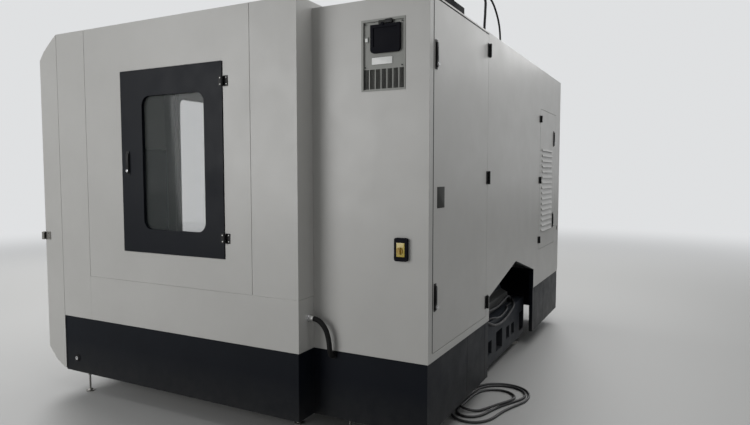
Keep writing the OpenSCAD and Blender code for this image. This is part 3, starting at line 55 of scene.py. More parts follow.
def setCamera():
    data = bpy.data.cameras.new("camera")
    data.lens = shot["lens"]
    data.sensor_width = shot["sensor"]
    data.clip_end = shot["farEnd"]
    camera = bpy.data.objects.new("camera", data)
    bpy.context.scene.collection.objects.link(camera)
    camera.location = shot["place"]
    camera.rotation_euler = lookAlong(shot["forward"])
    bpy.context.scene.camera = camera


def newMaterial(name):
    mat = bpy.data.materials.new(name)
    mat.use_nodes = True
    tree = mat.node_tree
    return mat, tree, tree.nodes["Principled BSDF"]


def addMath(tree, operation, first, second=None):
    # Each of the two values is a socket or a number
    node = tree.nodes.new("ShaderNodeMath")
    node.operation = operation
    for socket, value in zip(node.inputs, (first, second)):
        if isinstance(value, float):
            socket.default_value = value
        elif value is not None:
            tree.links.new(value, socket)
    return node.outputs[0]


def addNoise(tree, source, scale, detail=2.0, roughness=0.5):
    noise = tree.nodes.new("ShaderNodeTexNoise")
    noise.inputs["Scale"].default_value = scale
    noise.inputs["Detail"].default_value = detail
    noise.inputs["Roughness"].default_value = roughness
    tree.links.new(source, noise.inputs["Vector"])
    return noise.outputs["Fac"]


midNoise = (0.3, 0.7)   # most of a noise's values lie between these


def addRange(tree, value, low, high, fromLow=0.0, fromHigh=1.0, kind="LINEAR"):
    node = tree.nodes.new("ShaderNodeMapRange")
    node.interpolation_type = kind
    node.inputs["From Min"].default_value = fromLow
    node.inputs["From Max"].default_value = fromHigh
    node.inputs["To Min"].default_value = low
    node.inputs["To Max"].default_value = high
    tree.links.new(value, node.inputs["Value"])
    return node.outputs["Result"]


def mixColour(tree, factor, first, second):
    node = tree.nodes.new("ShaderNodeMix")
    node.data_type = "RGBA"
    for socket, value in ((node.inputs[6], first), (node.inputs[7], second)):
        if isinstance(value, tuple):
            socket.default_value = (*value, 1)
        else:
            tree.links.new(value, socket)
    tree.links.new(factor, node.inputs[0])
    return node.outputs[2]


def addBump(tree, shader, height, strength, distance):
    bump = tree.nodes.new("ShaderNodeBump")
    bump.inputs["Strength"].default_value = strength
    bump.inputs["Distance"].default_value = distance
    tree.links.new(height, bump.inputs["Height"])
    tree.links.new(bump.outputs["Normal"], shader.inputs["Normal"])


def objectPoint(tree):
    return tree.nodes.new("ShaderNodeTexCoord").outputs["Object"]


studio = {
    "backdrop": (0.74, 0.75, 0.76),   # what the camera, glass and metal see
    "ambient": (0.95, 0.97, 1.0),
    "ambientStrength": 0.16,
    "floorSeen": (0.44, 0.44, 0.43),
    "floorRough": 0.55,
    "floorHalf": 40,
    "floorFade": (4.5, 15.0),         # distances between which the floor goes over into the backdrop
    # place, aim, width, height, watts
    "lamps": [
        ((8.5, -3.5, 2.7), (2.1, 0.0, 1.2), 5.0, 4.0, 248),
        ((0.6, 3.5, 4.6), (0.2, 1.6, 2.4), 4.5, 1.0, 42),
        ((-2.0, -8.5, 5.0), (0.0, -1.6, 1.4), 5.0, 3.0, 330),
        ((-8.5, 1.0, 5.5), (-2.1, 0.0, 1.4), 5.0, 3.0, 280),
        ((0.0, 0.5, 9.0), (0.0, 0.0, 2.0), 6.0, 6.0, 205),
    ],
}


def buildWorld():
    world = bpy.data.worlds.new("studio")
    bpy.context.scene.world = world
    world.use_nodes = True
    tree = world.node_tree
    tree.nodes.clear()
    out = tree.nodes.new("ShaderNodeOutputWorld")
    mix = tree.nodes.new("ShaderNodeMixShader")
    lit = tree.nodes.new("ShaderNodeBackground")
    seen = tree.nodes.new("ShaderNodeBackground")
    rays = tree.nodes.new("ShaderNodeLightPath").outputs
    lit.inputs[0].default_value = (*studio["ambient"], 1)
    lit.inputs[1].default_value = studio["ambientStrength"]
    seen.inputs[0].default_value = (*studio["backdrop"], 1)
    sight = addMath(tree, "MAXIMUM", rays["Is Camera Ray"], rays["Is Transmission Ray"])
    sight = addMath(tree, "MAXIMUM", sight, rays["Is Glossy Ray"])
    tree.links.new(sight, mix.inputs[0])
    tree.links.new(lit.outputs[0], mix.inputs[1])
    tree.links.new(seen.outputs[0], mix.inputs[2])
    tree.links.new(mix.outputs[0], out.inputs[0])


def buildFloor():
    mat, tree, shader = newMaterial("floorPaint")
    shader.inputs["Base Color"].default_value = (*studio["floorSeen"], 1)
    shader.inputs["Roughness"].default_value = studio["floorRough"]
    away = tree.nodes.new("ShaderNodeVectorMath")
    away.operation = "LENGTH"
    tree.links.new(objectPoint(tree), away.inputs[0])
    fade = addRange(tree, away.outputs["Value"], 0.0, 1.0, *studio["floorFade"], kind="SMOOTHSTEP")
    cameraRay = tree.nodes.new("ShaderNodeLightPath").outputs["Is Camera Ray"]
    pale = tree.nodes.new("ShaderNodeEmission")
    pale.inputs[0].default_value = (*studio["backdrop"], 1)
    blend = tree.nodes.new("ShaderNodeMixShader")
    tree.links.new(addMath(tree, "MULTIPLY", fade, cameraRay), blend.inputs[0])
    tree.links.new(shader.outputs[0], blend.inputs[1])
    tree.links.new(pale.outputs[0], blend.inputs[2])
    tree.links.new(blend.outputs[0], tree.nodes["Material Output"].inputs[0])
    mesh = bpy.data.meshes.new("floor")
    r = studio["floorHalf"]
    mesh.from_pydata([(-r, -r, 0), (r, -r, 0), (r, r, 0), (-r, r, 0)], [], [(0, 1, 2, 3)])
    mesh.materials.append(mat)
    floor = bpy.data.objects.new("floor", mesh)
    bpy.context.scene.collection.objects.link(floor)


def hangLamps():
    for i, (place, aim, width, height, watts) in enumerate(studio["lamps"]):
        data = bpy.data.lights.new(f"lamp{i}", "AREA")
        data.shape = "RECTANGLE"
        data.size, data.size_y, data.energy = width, height, watts
        lamp = bpy.data.objects.new(f"lamp{i}", data)
        bpy.context.scene.collection.objects.link(lamp)
        lamp.location = place
        lamp.rotation_euler = lookAlong(Vector(aim) - Vector(place))


bpy.context.scene.view_settings.view_transform = "Standard"
setCamera()
buildWorld()
buildFloor()
hangLamps()
print("stage: camera and studio are set")


def setLook(tree, shader, colour, rough):
    tree.links.new(colour, shader.inputs["Base Color"])
    tree.links.new(rough, shader.inputs["Roughness"])


paints = {
    # colour, shade of its drift, roughness low and high, specular level, coat
    "whitePaint": ((0.51, 0.505, 0.485), (0.475, 0.47, 0.45), 0.32, 0.44, 0.5, 0.10),
    "charcoalPaint": ((0.0050, 0.0066, 0.0104), (0.0035, 0.0048, 0.0078), 0.34, 0.50, 0.11, 0.0),
    "castingPaint": ((0.024, 0.028, 0.035), (0.018, 0.021, 0.027), 0.45, 0.62, 0.14, 0.0),
    "coverPaint": ((0.0060, 0.0068, 0.0085), (0.0042, 0.0048, 0.0062), 0.55, 0.70, 0.02, 0.0),
    "chamberPaint": ((0.56, 0.58, 0.55), (0.50, 0.52, 0.49), 0.4, 0.55, 0.4, 0.0),
}


sheetLook = {
    # scale, detail and roughness of each noise
    "drift": (1.6, 4, 0.6), "wear": (5, 5, 0.6), "specks": (14, 5, 0.65), "wave": (2.4, 2, 0.5),
    "grain": (380, 2),
    "grainShare": 0.012, "waveDepth": 0.003, "coatRough": 0.25,
    "dustColour": (0.12, 0.115, 0.10), "dustHeights": (0.10, 0.40),
}


def paintedSheet(name, dust=0.0, broad=1.0):
    colour, shade, roughLow, roughHigh, specular, coat = paints[name]
    look = sheetLook
    mat, tree, shader = newMaterial(name)
    point = objectPoint(tree)
    drift = addNoise(tree, point, *look["drift"])
    body = mixColour(tree, addRange(tree, drift, 0.0, 1.0, 0.35, 0.75), colour, shade)
    if dust:
        # floor dust that settles on the lowest part
        split = tree.nodes.new("ShaderNodeSeparateXYZ")
        tree.links.new(point, split.inputs[0])
        low = addRange(tree, split.outputs["Z"], dust, 0.0, *look["dustHeights"])
        amount = addMath(tree, "MULTIPLY", low, addNoise(tree, point, *look["specks"]))
        body = mixColour(tree, amount, body, look["dustColour"])
    wear = addNoise(tree, point, *look["wear"])
    setLook(tree, shader, body, addRange(tree, wear, roughLow, roughHigh, *midNoise))
    # the sheet's slow wave, with the grain of the coat on it
    wave = addRange(tree, addNoise(tree, point, *look["wave"]), 0.0, broad)
    grain = addRange(tree, addNoise(tree, point, *look["grain"]), 0.0, look["grainShare"])
    addBump(tree, shader, addMath(tree, "ADD", wave, grain), 1.0, look["waveDepth"])
    shader.inputs["Specular IOR Level"].default_value = specular
    shader.inputs["Coat Weight"].default_value = coat
    shader.inputs["Coat Roughness"].default_value = look["coatRough"]
    return mat


steelLook = {"lines": (30, 3), "drift": (4, 4), "darker": 0.82, "bump": (0.08, 0.0006)}


def machinedSteel(name, colour=(0.56, 0.57, 0.58), stretch=(1, 40, 1), roughLow=0.22, roughHigh=0.38):
    mat, tree, shader = newMaterial(name)
    point = objectPoint(tree)
    mapping = tree.nodes.new("ShaderNodeMapping")
    mapping.inputs["Scale"].default_value = stretch
    tree.links.new(point, mapping.inputs["Vector"])
    lines = addNoise(tree, mapping.outputs[0], *steelLook["lines"])
    dark = tuple(c * steelLook["darker"] for c in colour)
    body = mixColour(tree, addNoise(tree, point, *steelLook["drift"]), colour, dark)
    setLook(tree, shader, body, addRange(tree, lines, roughLow, roughHigh, *midNoise))
    addBump(tree, shader, lines, *steelLook["bump"])
    shader.inputs["Metallic"].default_value = 1.0
    return mat


plasticLook = {"drift": (9, 3), "lighter": 1.25, "roughSpread": (-0.06, 0.08), "grainDepth": 0.0006}


def mouldedPlastic(name, colour, rough=0.42, grain=700, depth=0.12, specular=0.4):
    look = plasticLook
    mat, tree, shader = newMaterial(name)
    point = objectPoint(tree)
    drift = addNoise(tree, point, *look["drift"])
    lighter = tuple(min(1.0, c * look["lighter"] + 0.002) for c in colour)
    body = mixColour(tree, addRange(tree, drift, 0.0, 0.6, 0.35, 0.75), colour, lighter)
    down, up = look["roughSpread"]
    setLook(tree, shader, body, addRange(tree, drift, rough + down, rough + up, *midNoise))
    addBump(tree, shader, addNoise(tree, point, grain, 2), depth, look["grainDepth"])
    shader.inputs["Specular IOR Level"].default_value = specular
    return mat


sheathLook = {"scuff": (22, 5, 0.65), "skin": (160, 3), "bump": (0.2, 0.0008), "rough": (0.36, 0.6),
              "colour": (0.008, 0.008, 0.009), "worn": (0.034, 0.032, 0.030)}


def cableSheath(name):
    look = sheathLook
    mat, tree, shader = newMaterial(name)
    point = objectPoint(tree)
    scuff = addNoise(tree, point, *look["scuff"])
    body = mixColour(tree, addRange(tree, scuff, 0.0, 0.7, 0.5, 0.85), look["colour"], look["worn"])
    setLook(tree, shader, body, addRange(tree, scuff, *look["rough"], *midNoise))
    addBump(tree, shader, addNoise(tree, point, *look["skin"]), *look["bump"])
    return mat


paneLook = {"smear": (2.2, 4, 0.6), "rough": (0.02, 0.09), "alpha": 0.16, "ior": 1.5,
            "colour": (0.16, 0.18, 0.18), "smeared": (0.24, 0.26, 0.255)}


def clearPane(name):
    look = paneLook
    mat, tree, shader = newMaterial(name)
    smear = addNoise(tree, objectPoint(tree), *look["smear"])
    setLook(tree, shader, mixColour(tree, smear, look["colour"], look["smeared"]),
            addRange(tree, smear, *look["rough"], 0.35, 0.8))
    shader.inputs["Alpha"].default_value = look["alpha"]
    shader.inputs["IOR"].default_value = look["ior"]
    return mat


glossLook = {"smear": (30, 4), "roughSpread": 0.14, "darker": 0.8, "coat": 0.4, "coatRough": 0.06}


def glossFace(name, colour, rough):
    look = glossLook
    mat, tree, shader = newMaterial(name)
    smear = addNoise(tree, objectPoint(tree), *look["smear"])
    setLook(tree, shader, mixColour(tree, smear, colour, tuple(c * look["darker"] for c in colour)),
            addRange(tree, smear, rough, rough + look["roughSpread"], 0.4, 0.8))
    shader.inputs["Coat Weight"].default_value = look["coat"]
    shader.inputs["Coat Roughness"].default_value = look["coatRough"]
    return mat


finishes = {
    "white": paintedSheet("whitePaint"),
    "charcoal": paintedSheet("charcoalPaint", dust=0.25),
    "casting": paintedSheet("castingPaint", dust=0.25, broad=0.2),
    "chamber": paintedSheet("chamberPaint"),
    "coverBlack": paintedSheet("coverPaint", broad=0.3),
    "steel": machinedSteel("groundSteel"),
    "dullSteel": machinedSteel("dullSteel", (0.22, 0.215, 0.20), (1, 1, 1), 0.35, 0.55),
    "zinc": machinedSteel("zincPlate", (0.60, 0.60, 0.58), (1, 1, 1), 0.28, 0.5),
    "chrome": machinedSteel("chromePlate", (0.75, 0.75, 0.76), (1, 1, 1), 0.06, 0.14),
    "unitGrey": mouldedPlastic("unitGrey", (0.27, 0.275, 0.255), 0.45, 500, 0.1),
    "blackPlastic": mouldedPlastic("blackPlastic", (0.006, 0.006, 0.0065), specular=0.2),
    # painted shade for the deep faces of the cooling unit's air slots
    "slotShadeBlack": mouldedPlastic("shadedVoid", (0.052, 0.052, 0.047), 0.8, specular=0.05),
    "rubber": mouldedPlastic("sealRubber", (0.009, 0.009, 0.009), 0.7, 300, 0.1, 0.15),
    "screen": mouldedPlastic("screenFace", (0.005, 0.005, 0.008), 0.55, 900, 0.02, 0.06),
    "yellow": glossFace("yellowPlate", (0.58, 0.44, 0.05), 0.3),
    "orange": glossFace("orangeKnob", (0.50, 0.31, 0.03), 0.3),
    "red": glossFace("redButton", (0.50, 0.02, 0.015), 0.25),
    "green": glossFace("greenButton", (0.03, 0.30, 0.08), 0.25),
    "sheath": cableSheath("cableSheath"),
    "glass": clearPane("clearPane"),
    "labelWhite": mouldedPlastic("blankLabel", (0.82, 0.83, 0.80), 0.35, 900, 0.03),
    "keyGrey": mouldedPlastic("keyGrey", (0.20, 0.21, 0.22), 0.5, 900, 0.05),
    # lighter grey for the column's foot, partly its own grey and partly painted light
    "litFootGrey": mouldedPlastic("litFootGrey", (0.085, 0.086, 0.084), 0.6, 60, 0.05, 0.25),
    "plateGrey": mouldedPlastic("ratingPlate", (0.040, 0.041, 0.038), 0.5, 900, 0.04, 0.10),
}
print("stage: finishes are made")


rounding = {"merge": 2e-6, "sharpOver": 34, "profile": 0.6, "smoothUnder": 40, "weight": 90}


def linkMesh(mesh, name):
    piece = bpy.data.objects.new(name, mesh)
    bpy.context.scene.collection.objects.link(piece)
    return piece


def shadeByAngle(mesh, degrees=32):
    bm = bmesh.new()
    bm.from_mesh(mesh)
    for face in bm.faces:
        face.smooth = True
    for edge in bm.edges:
        edge.smooth = len(edge.link_faces) == 2 and edge.calc_face_angle(0) < math.radians(degrees)
    bm.to_mesh(mesh)
    bm.free()


def roundEdges(bm, edges, width, segments):
    bmesh.ops.bevel(bm, geom=edges, offset=width, segments=segments, profile=rounding["profile"],
                    affect="EDGES", clamp_overlap=True)


def softCopy(node, width):
    # A merged copy of a CAD node with its sharp edges rounded
    mesh = nodes[node].data.copy()
    bm = bmesh.new()
    bm.from_mesh(mesh)
    bmesh.ops.remove_doubles(bm, verts=bm.verts, dist=rounding["merge"])
    limit = math.radians(rounding["sharpOver"])
    sharp = [e for e in bm.edges if len(e.link_faces) == 2 and e.calc_face_angle(0) > limit]
    roundEdges(bm, sharp, width, 2)
    bmesh.ops.triangulate(bm, faces=[f for f in bm.faces if len(f.verts) > 4])
    bm.to_mesh(mesh)
    bm.free()
    return mesh


def giveFinish(piece, finish):
    slots = piece.data.materials
    if len(slots) == 0:
        slots.append(finishes[finish])
    for i in range(len(slots)):
        slots[i] = finishes[finish]


def plainMesh(piece, name):
    # The evaluated shape as a mesh of its own, without the modifier
    deps = bpy.context.evaluated_depsgraph_get()
    mesh = bpy.data.meshes.new_from_object(piece.evaluated_get(deps), depsgraph=deps)
    mesh.name = name
    bpy.data.objects.remove(piece)
    return linkMesh(mesh, name)


def evenCorners(piece, name):
    # Flat faces stay flat: each corner's normal follows the larger faces
    mod = piece.modifiers.new("corners", "WEIGHTED_NORMAL")
    mod.mode = "FACE_AREA"
    mod.weight = rounding["weight"]
    mod.keep_sharp = True
    return plainMesh(piece, name)


def dress(node, finish, width):
    # Gives a node its finish; with a width, a rounded copy stands for it
    if not width:
        giveFinish(nodes[node], finish)
        return nodes[node]
    piece = linkMesh(softCopy(node, width), node + "Shaped")
    giveFinish(piece, finish)
    shadeByAngle(piece.data, rounding["smoothUnder"])
    piece = evenCorners(piece, node + "Shaped")
    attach(piece, bodyOf[node])
    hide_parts(node)
    giveFinish(nodes[node], finish)
    return piece


def finishPiece(bm, name, finish, body):
    bmesh.ops.recalc_face_normals(bm, faces=bm.faces)
    mesh = bpy.data.meshes.new(name)
    bm.to_mesh(mesh)
    bm.free()
    shadeByAngle(mesh)
    piece = linkMesh(mesh, name)
    giveFinish(piece, finish)
    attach(piece, body)
    return piece


def smoothPath(points, step):
    # Centripetal curve through the points, sampled at an even step, and its length
    pts = [Vector(p) for p in points]
    pts = [pts[0] * 2 - pts[1]] + pts + [pts[-1] * 2 - pts[-2]]
    dense = []
    for i in range(1, len(pts) - 2):
        p0, p1, p2, p3 = pts[i - 1:i + 3]
        t0 = 0.0
        t1 = t0 + max(1e-6, (p1 - p0).length) ** 0.5
        t2 = t1 + max(1e-6, (p2 - p1).length) ** 0.5
        t3 = t2 + max(1e-6, (p3 - p2).length) ** 0.5
        count = max(4, int((p2 - p1).length / step * 3))   # about three to a step
        for k in range(count):
            t = t1 + (t2 - t1) * k / count
            a1 = p0.lerp(p1, (t - t0) / (t1 - t0))
            a2 = p1.lerp(p2, (t - t1) / (t2 - t1))
            a3 = p2.lerp(p3, (t - t2) / (t3 - t2))
            b1 = a1.lerp(a2, (t - t0) / (t2 - t0))
            b2 = a2.lerp(a3, (t - t1) / (t3 - t1))
            dense.append(b1.lerp(b2, (t - t1) / (t2 - t1)))
    dense.append(pts[-2].copy())
    lengths = [0.0]
    for a, b in zip(dense, dense[1:]):
        lengths.append(lengths[-1] + (b - a).length)
    total = lengths[-1]
    count = max(2, round(total / step))
    out, j = [], 0
    for k in range(count + 1):
        want = total * k / count
        while j < len(lengths) - 2 and lengths[j + 1] < want:
            j += 1
        span = lengths[j + 1] - lengths[j] or 1e-9
        out.append(dense[j].lerp(dense[j + 1], min(1.0, (want - lengths[j]) / span)))
    return out, total


def curveThrough(points, name):
    data = bpy.data.curves.new(name, "CURVE")
    data.dimensions = "3D"
    spline = data.splines.new("POLY")
    spline.points.add(len(points) - 1)
    for slot, p in zip(spline.points, points):
        slot.co = (*p, 1)
    curve = bpy.data.objects.new(name, data)
    bpy.context.scene.collection.objects.link(curve)
    return curve


def inputId(tree, name):
    return next(s.identifier for s in tree.interface.items_tree
                if s.item_type == "SOCKET" and s.in_out == "INPUT" and s.name == name)


def newTree(name, inputs):
    tree = bpy.data.node_groups.new(name, "GeometryNodeTree")
    tree.interface.new_socket("Geometry", in_out="INPUT", socket_type="NodeSocketGeometry")
    tree.interface.new_socket("Geometry", in_out="OUTPUT", socket_type="NodeSocketGeometry")
    for label, kind, value in inputs:
        socket = tree.interface.new_socket(label, in_out="INPUT", socket_type="NodeSocket" + kind)
        if value is not None:
            socket.default_value = value
    return tree, tree.nodes.new("NodeGroupInput"), tree.nodes.new("NodeGroupOutput")


def setInputs(mod, tree, values):
    mod.node_group = tree
    for name, value in values.items():
        mod[inputId(tree, name)] = value


def ribbedHoseTree():
    # A tube swept along a curve, its wall waved by the ribs
    tree, start, end = newTree("ribbedHose", [
        ("Radius", "Float", 0.01), ("Rib Pitch", "Float", 0.008), ("Rib Depth", "Float", 0.0),
        ("Step", "Float", 0.004), ("Sides", "Int", 14), ("Finish", "Material", None)])
    link = tree.links.new
    even = tree.nodes.new("GeometryNodeResampleCurve")
    even.mode = "LENGTH"
    link(start.outputs["Geometry"], even.inputs["Curve"])
    link(start.outputs["Step"], even.inputs["Length"])
    along = tree.nodes.new("GeometryNodeSplineParameter")
    turns = addMath(tree, "DIVIDE", along.outputs["Length"], start.outputs["Rib Pitch"])
    wave = addMath(tree, "COSINE", addMath(tree, "MULTIPLY", turns, 2 * math.pi))
    rib = addMath(tree, "MULTIPLY", wave, start.outputs["Rib Depth"])
    wall = addMath(tree, "ADD", start.outputs["Radius"], rib)
    ring = tree.nodes.new("GeometryNodeCurvePrimitiveCircle")
    ring.inputs["Radius"].default_value = 1.0
    link(start.outputs["Sides"], ring.inputs["Resolution"])
    sized = tree.nodes.new("GeometryNodeSetCurveRadius")
    link(even.outputs[0], sized.inputs["Curve"])
    link(wall, sized.inputs["Radius"])
    sweep = tree.nodes.new("GeometryNodeCurveToMesh")
    sweep.inputs["Fill Caps"].default_value = True
    link(sized.outputs[0], sweep.inputs["Curve"])
    link(ring.outputs[0], sweep.inputs["Profile Curve"])
    if "Scale" in sweep.inputs:
        # where the sweep has a scale of its own, the curve's radius is set aside
        link(wall, sweep.inputs["Scale"])
    soft = tree.nodes.new("GeometryNodeSetShadeSmooth")
    link(sweep.outputs[0], soft.inputs["Geometry"])
    real = tree.nodes.new("GeometryNodeRealizeInstances")
    link(soft.outputs[0], real.inputs[0])
    coat = tree.nodes.new("GeometryNodeSetMaterial")
    link(real.outputs[0], coat.inputs["Geometry"])
    link(start.outputs["Finish"], coat.inputs["Material"])
    link(coat.outputs[0], end.inputs[0])
    return tree


def sweepHose(tree, name, points, finish, values, step=0.01):
    path, _ = smoothPath(points, step)
    curve = curveThrough(path, name + "Path")
    setInputs(curve.modifiers.new("hose", "NODES"), tree, {**values, "Finish": finishes[finish]})
    piece = plainMesh(curve, name)
    giveFinish(piece, finish)
    return piece


# The floor cable comes first, one cord from gland to gland
floorCable = {
    "radius": 0.009,
    "roundness": 4,
    "step": 0.012,
    "stack": 2.06,      # between the middles of two crossing turns, in radii
    "neighbours": 12,   # steps along the cable that don't count as a crossing
    "hump": 9,          # steps over which a turn rises to a crossing
    "lead": [(1.250, 1.300, 0.560), (1.250, 1.300, 0.520), (1.250, 1.300, 0.400), (1.236, 1.300, 0.285),
             (1.195, 1.298, 0.185), (1.130, 1.300, 0.108), (1.060, 1.325, 0.052), (1.000, 1.372, 0.020)],
    # plan points of the loops, the outer one first
    "loops": [(0.945, 1.425), (0.860, 1.450), (0.760, 1.462), (0.660, 1.476), (0.580, 1.508), (0.520, 1.562),
              (0.482, 1.635), (0.473, 1.712), (0.492, 1.785), (0.540, 1.848), (0.610, 1.886), (0.690, 1.897),
              (0.770, 1.888), (0.850, 1.860), (0.930, 1.828), (1.010, 1.802), (1.090, 1.784), (1.165, 1.768),
              (1.232, 1.738), (1.282, 1.688), (1.302, 1.622), (1.288, 1.556), (1.244, 1.506), (1.180, 1.484),
              (1.100, 1.479), (1.010, 1.480), (0.920, 1.482), (0.830, 1.486), (0.740, 1.494), (0.655, 1.514),
              (0.588, 1.552), (0.540, 1.608), (0.514, 1.676), (0.517, 1.748), (0.550, 1.812), (0.610, 1.855),
              (0.685, 1.866), (0.755, 1.846), (0.830, 1.808), (0.910, 1.768), (1.000, 1.733), (1.080, 1.708),
              (1.150, 1.684), (1.203, 1.642), (1.222, 1.586), (1.200, 1.534), (1.155, 1.508), (1.100, 1.502),
              (1.020, 1.504), (0.930, 1.507), (0.840, 1.513), (0.760, 1.526), (0.695, 1.554), (0.645, 1.602),
              (0.621, 1.666), (0.633, 1.733), (0.682, 1.786), (0.750, 1.812), (0.830, 1.802), (0.905, 1.768),
              (0.980, 1.722), (1.050, 1.672), (1.100, 1.626), (1.122, 1.578), (1.112, 1.528), (1.074, 1.494),
              (1.020, 1.482)],
    "back": [(0.988, 1.469, 0.026), (0.965, 1.443, 0.034), (0.9545, 1.410, 0.042), (0.959, 1.376, 0.053),
             (0.973, 1.349, 0.068), (0.990, 1.322, 0.090), (1.004, 1.296, 0.122), (1.013, 1.272, 0.162),
             (1.017, 1.256, 0.205), (1.006, 1.246, 0.2475), (0.9745, 1.241, 0.2786), (0.932, 1.240, 0.290),
             (0.899, 1.240, 0.290)],
}


def settleLoops():
    # Each later stretch of the cable rises over the earlier ones that it crosses
    radius, hump = floorCable["radius"], floorCable["hump"]
    gap = radius * floorCable["stack"]
    flat, _ = smoothPath([(x, y, 0) for x, y in floorCable["loops"]], floorCable["step"])
    height = [radius] * len(flat)
    for _ in range(2):
        for i, p in enumerate(flat):
            for j in range(0, i - floorCable["neighbours"]):
                away = math.hypot(p.x - flat[j].x, p.y - flat[j].y)
                if away < gap:
                    height[i] = max(height[i], height[j] + math.sqrt(gap * gap - away * away))
        # long low humps at either side of a crossing
        eased = list(height)
        for i in range(len(flat)):
            for k in range(-hump, hump + 1):
                j = i + k
                if 0 <= j < len(flat):
                    lift = (height[j] - radius) * 0.5 * (1 + math.cos(math.pi * k / (hump + 1)))
                    eased[i] = max(eased[i], radius + lift)
        height = eased
    return [(p.x, p.y, h) for p, h in zip(flat, height)]


def buildFloorCable():
    step = floorCable["step"]
    loops = settleLoops()
    lead, _ = smoothPath(floorCable["lead"] + [loops[0]], step)
    back, _ = smoothPath([loops[-1]] + floorCable["back"], step)
    path = [tuple(p) for p in lead[:-1]] + loops[:-1] + [tuple(p) for p in back]
    path, length = smoothPath(path[::2] + [path[-1]], step)
    curve = curveThrough(path, "floorCable")
    curve.data.bevel_depth = floorCable["radius"]
    curve.data.bevel_resolution = floorCable["roundness"]
    curve.data.use_fill_caps = True
    curve.data.splines[0].use_smooth = True
    curve.data.materials.append(finishes["sheath"])
    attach(curve, "machine")
    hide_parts("floor_cable_lead", "floor_cable_coil", "floor_cable_return")
    print("stage: floor cable", round(length, 2), "m")


buildFloorCable()

hoses = {
    "side_hose": {"radius": 0.016, "ribs": 0.0, "step": 0.008, "finish": "rubber", "points": [
        (1.990, 0.848, 0.777), (1.990, 0.858, 0.777), (1.990, 0.868, 0.776), (1.989, 0.892, 0.769),
        (1.986, 0.920, 0.745), (1.982, 0.944, 0.705), (1.978, 0.957, 0.655), (1.976, 0.962, 0.610),
        (1.972, 0.963, 0.578), (1.962, 0.963, 0.555), (1.950, 0.963, 0.546), (1.940, 0.963, 0.546)]},
    "roof_conduit": {"radius": 0.0112, "ribs": 0.0008, "step": 0.0022, "finish": "blackPlastic", "points": [
        (-0.195, 1.250, 2.734), (-0.195, 1.250, 2.830), (-0.205, 1.250, 3.010), (-0.222, 1.250, 3.130),
        (-0.240, 1.243, 3.240), (-0.246, 1.200, 3.345), (-0.246, 1.110, 3.415), (-0.243, 1.005, 3.415),
        (-0.240, 0.925, 3.375), (-0.240, 0.900, 3.310), (-0.240, 0.900, 3.274)]},
    "roof_hose": {"radius": 0.009, "ribs": 0.0, "step": 0.008, "finish": "rubber", "points": [
        (-0.715, 1.250, 2.734), (-0.715, 1.250, 2.860), (-0.707, 1.250, 3.010), (-0.668, 1.250, 3.109),
        (-0.590, 1.245, 3.205), (-0.490, 1.225, 3.300), (-0.425, 1.165, 3.375), (-0.375, 1.075, 3.410),
        (-0.350, 0.980, 3.390), (-0.340, 0.915, 3.340), (-0.340, 0.900, 3.305), (-0.340, 0.900, 3.274)]},
}
ribPitch = 0.0085
# radius of each cable over the base's edge, and its route
baseCables = [
    (0.012, [
        (0.560, 1.440, 0.462), (0.430, 1.480, 0.470), (0.380, 1.494, 0.460), (0.320, 1.497, 0.438),
        (0.180, 1.496, 0.400), (0.020, 1.496, 0.384), (-0.150, 1.496, 0.392), (-0.300, 1.497, 0.420),
        (-0.400, 1.497, 0.450), (-0.450, 1.485, 0.468), (-0.520, 1.460, 0.470), (-0.620, 1.430, 0.462)]),
    (0.012, [
        (0.540, 1.414, 0.462), (0.420, 1.427, 0.480), (0.300, 1.436, 0.520), (0.120, 1.440, 0.512),
        (-0.060, 1.440, 0.505), (-0.240, 1.440, 0.520), (-0.400, 1.438, 0.535), (-0.520, 1.430, 0.500),
        (-0.600, 1.405, 0.462)]),
    (0.0085, [
        (0.510, 1.424, 0.459), (0.400, 1.436, 0.459), (0.290, 1.458, 0.462), (0.235, 1.478, 0.468),
        (0.180, 1.490, 0.462), (0.100, 1.491, 0.446), (0.000, 1.491, 0.438), (-0.100, 1.491, 0.445),
        (-0.190, 1.490, 0.462), (-0.245, 1.478, 0.468), (-0.300, 1.458, 0.462), (-0.400, 1.452, 0.459),
        (-0.500, 1.452, 0.459)]),
]


def joinPieces(pieces, name):
    bm = bmesh.new()
    for piece in pieces:
        bm.from_mesh(piece.data)
    mesh = bpy.data.meshes.new(name)
    bm.to_mesh(mesh)
    bm.free()
    mesh.materials.append(pieces[0].data.materials[0])
    for piece in pieces:
        bpy.data.objects.remove(piece)
    return linkMesh(mesh, name)


def buildHoses():
    tree = ribbedHoseTree()
    for node, size in hoses.items():
        values = {"Radius": size["radius"], "Rib Pitch": ribPitch, "Rib Depth": size["ribs"],
                  "Step": size["step"], "Sides": 16}
        piece = sweepHose(tree, node + "Swept", size["points"], size["finish"], values)
        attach(piece, "machine")
        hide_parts(node)
    lays = []
    for i, (radius, points) in enumerate(baseCables):
        values = {"Radius": radius, "Rib Pitch": ribPitch, "Rib Depth": 0.0, "Step": 0.012, "Sides": 14}
        lays.append(sweepHose(tree, f"baseCable{i}", points, "sheath", values))
    piece = joinPieces(lays, "baseCablesSwept")
    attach(piece, "machine")
    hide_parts("base_cables")


buildHoses()
print("stage: cords and hoses are laid")


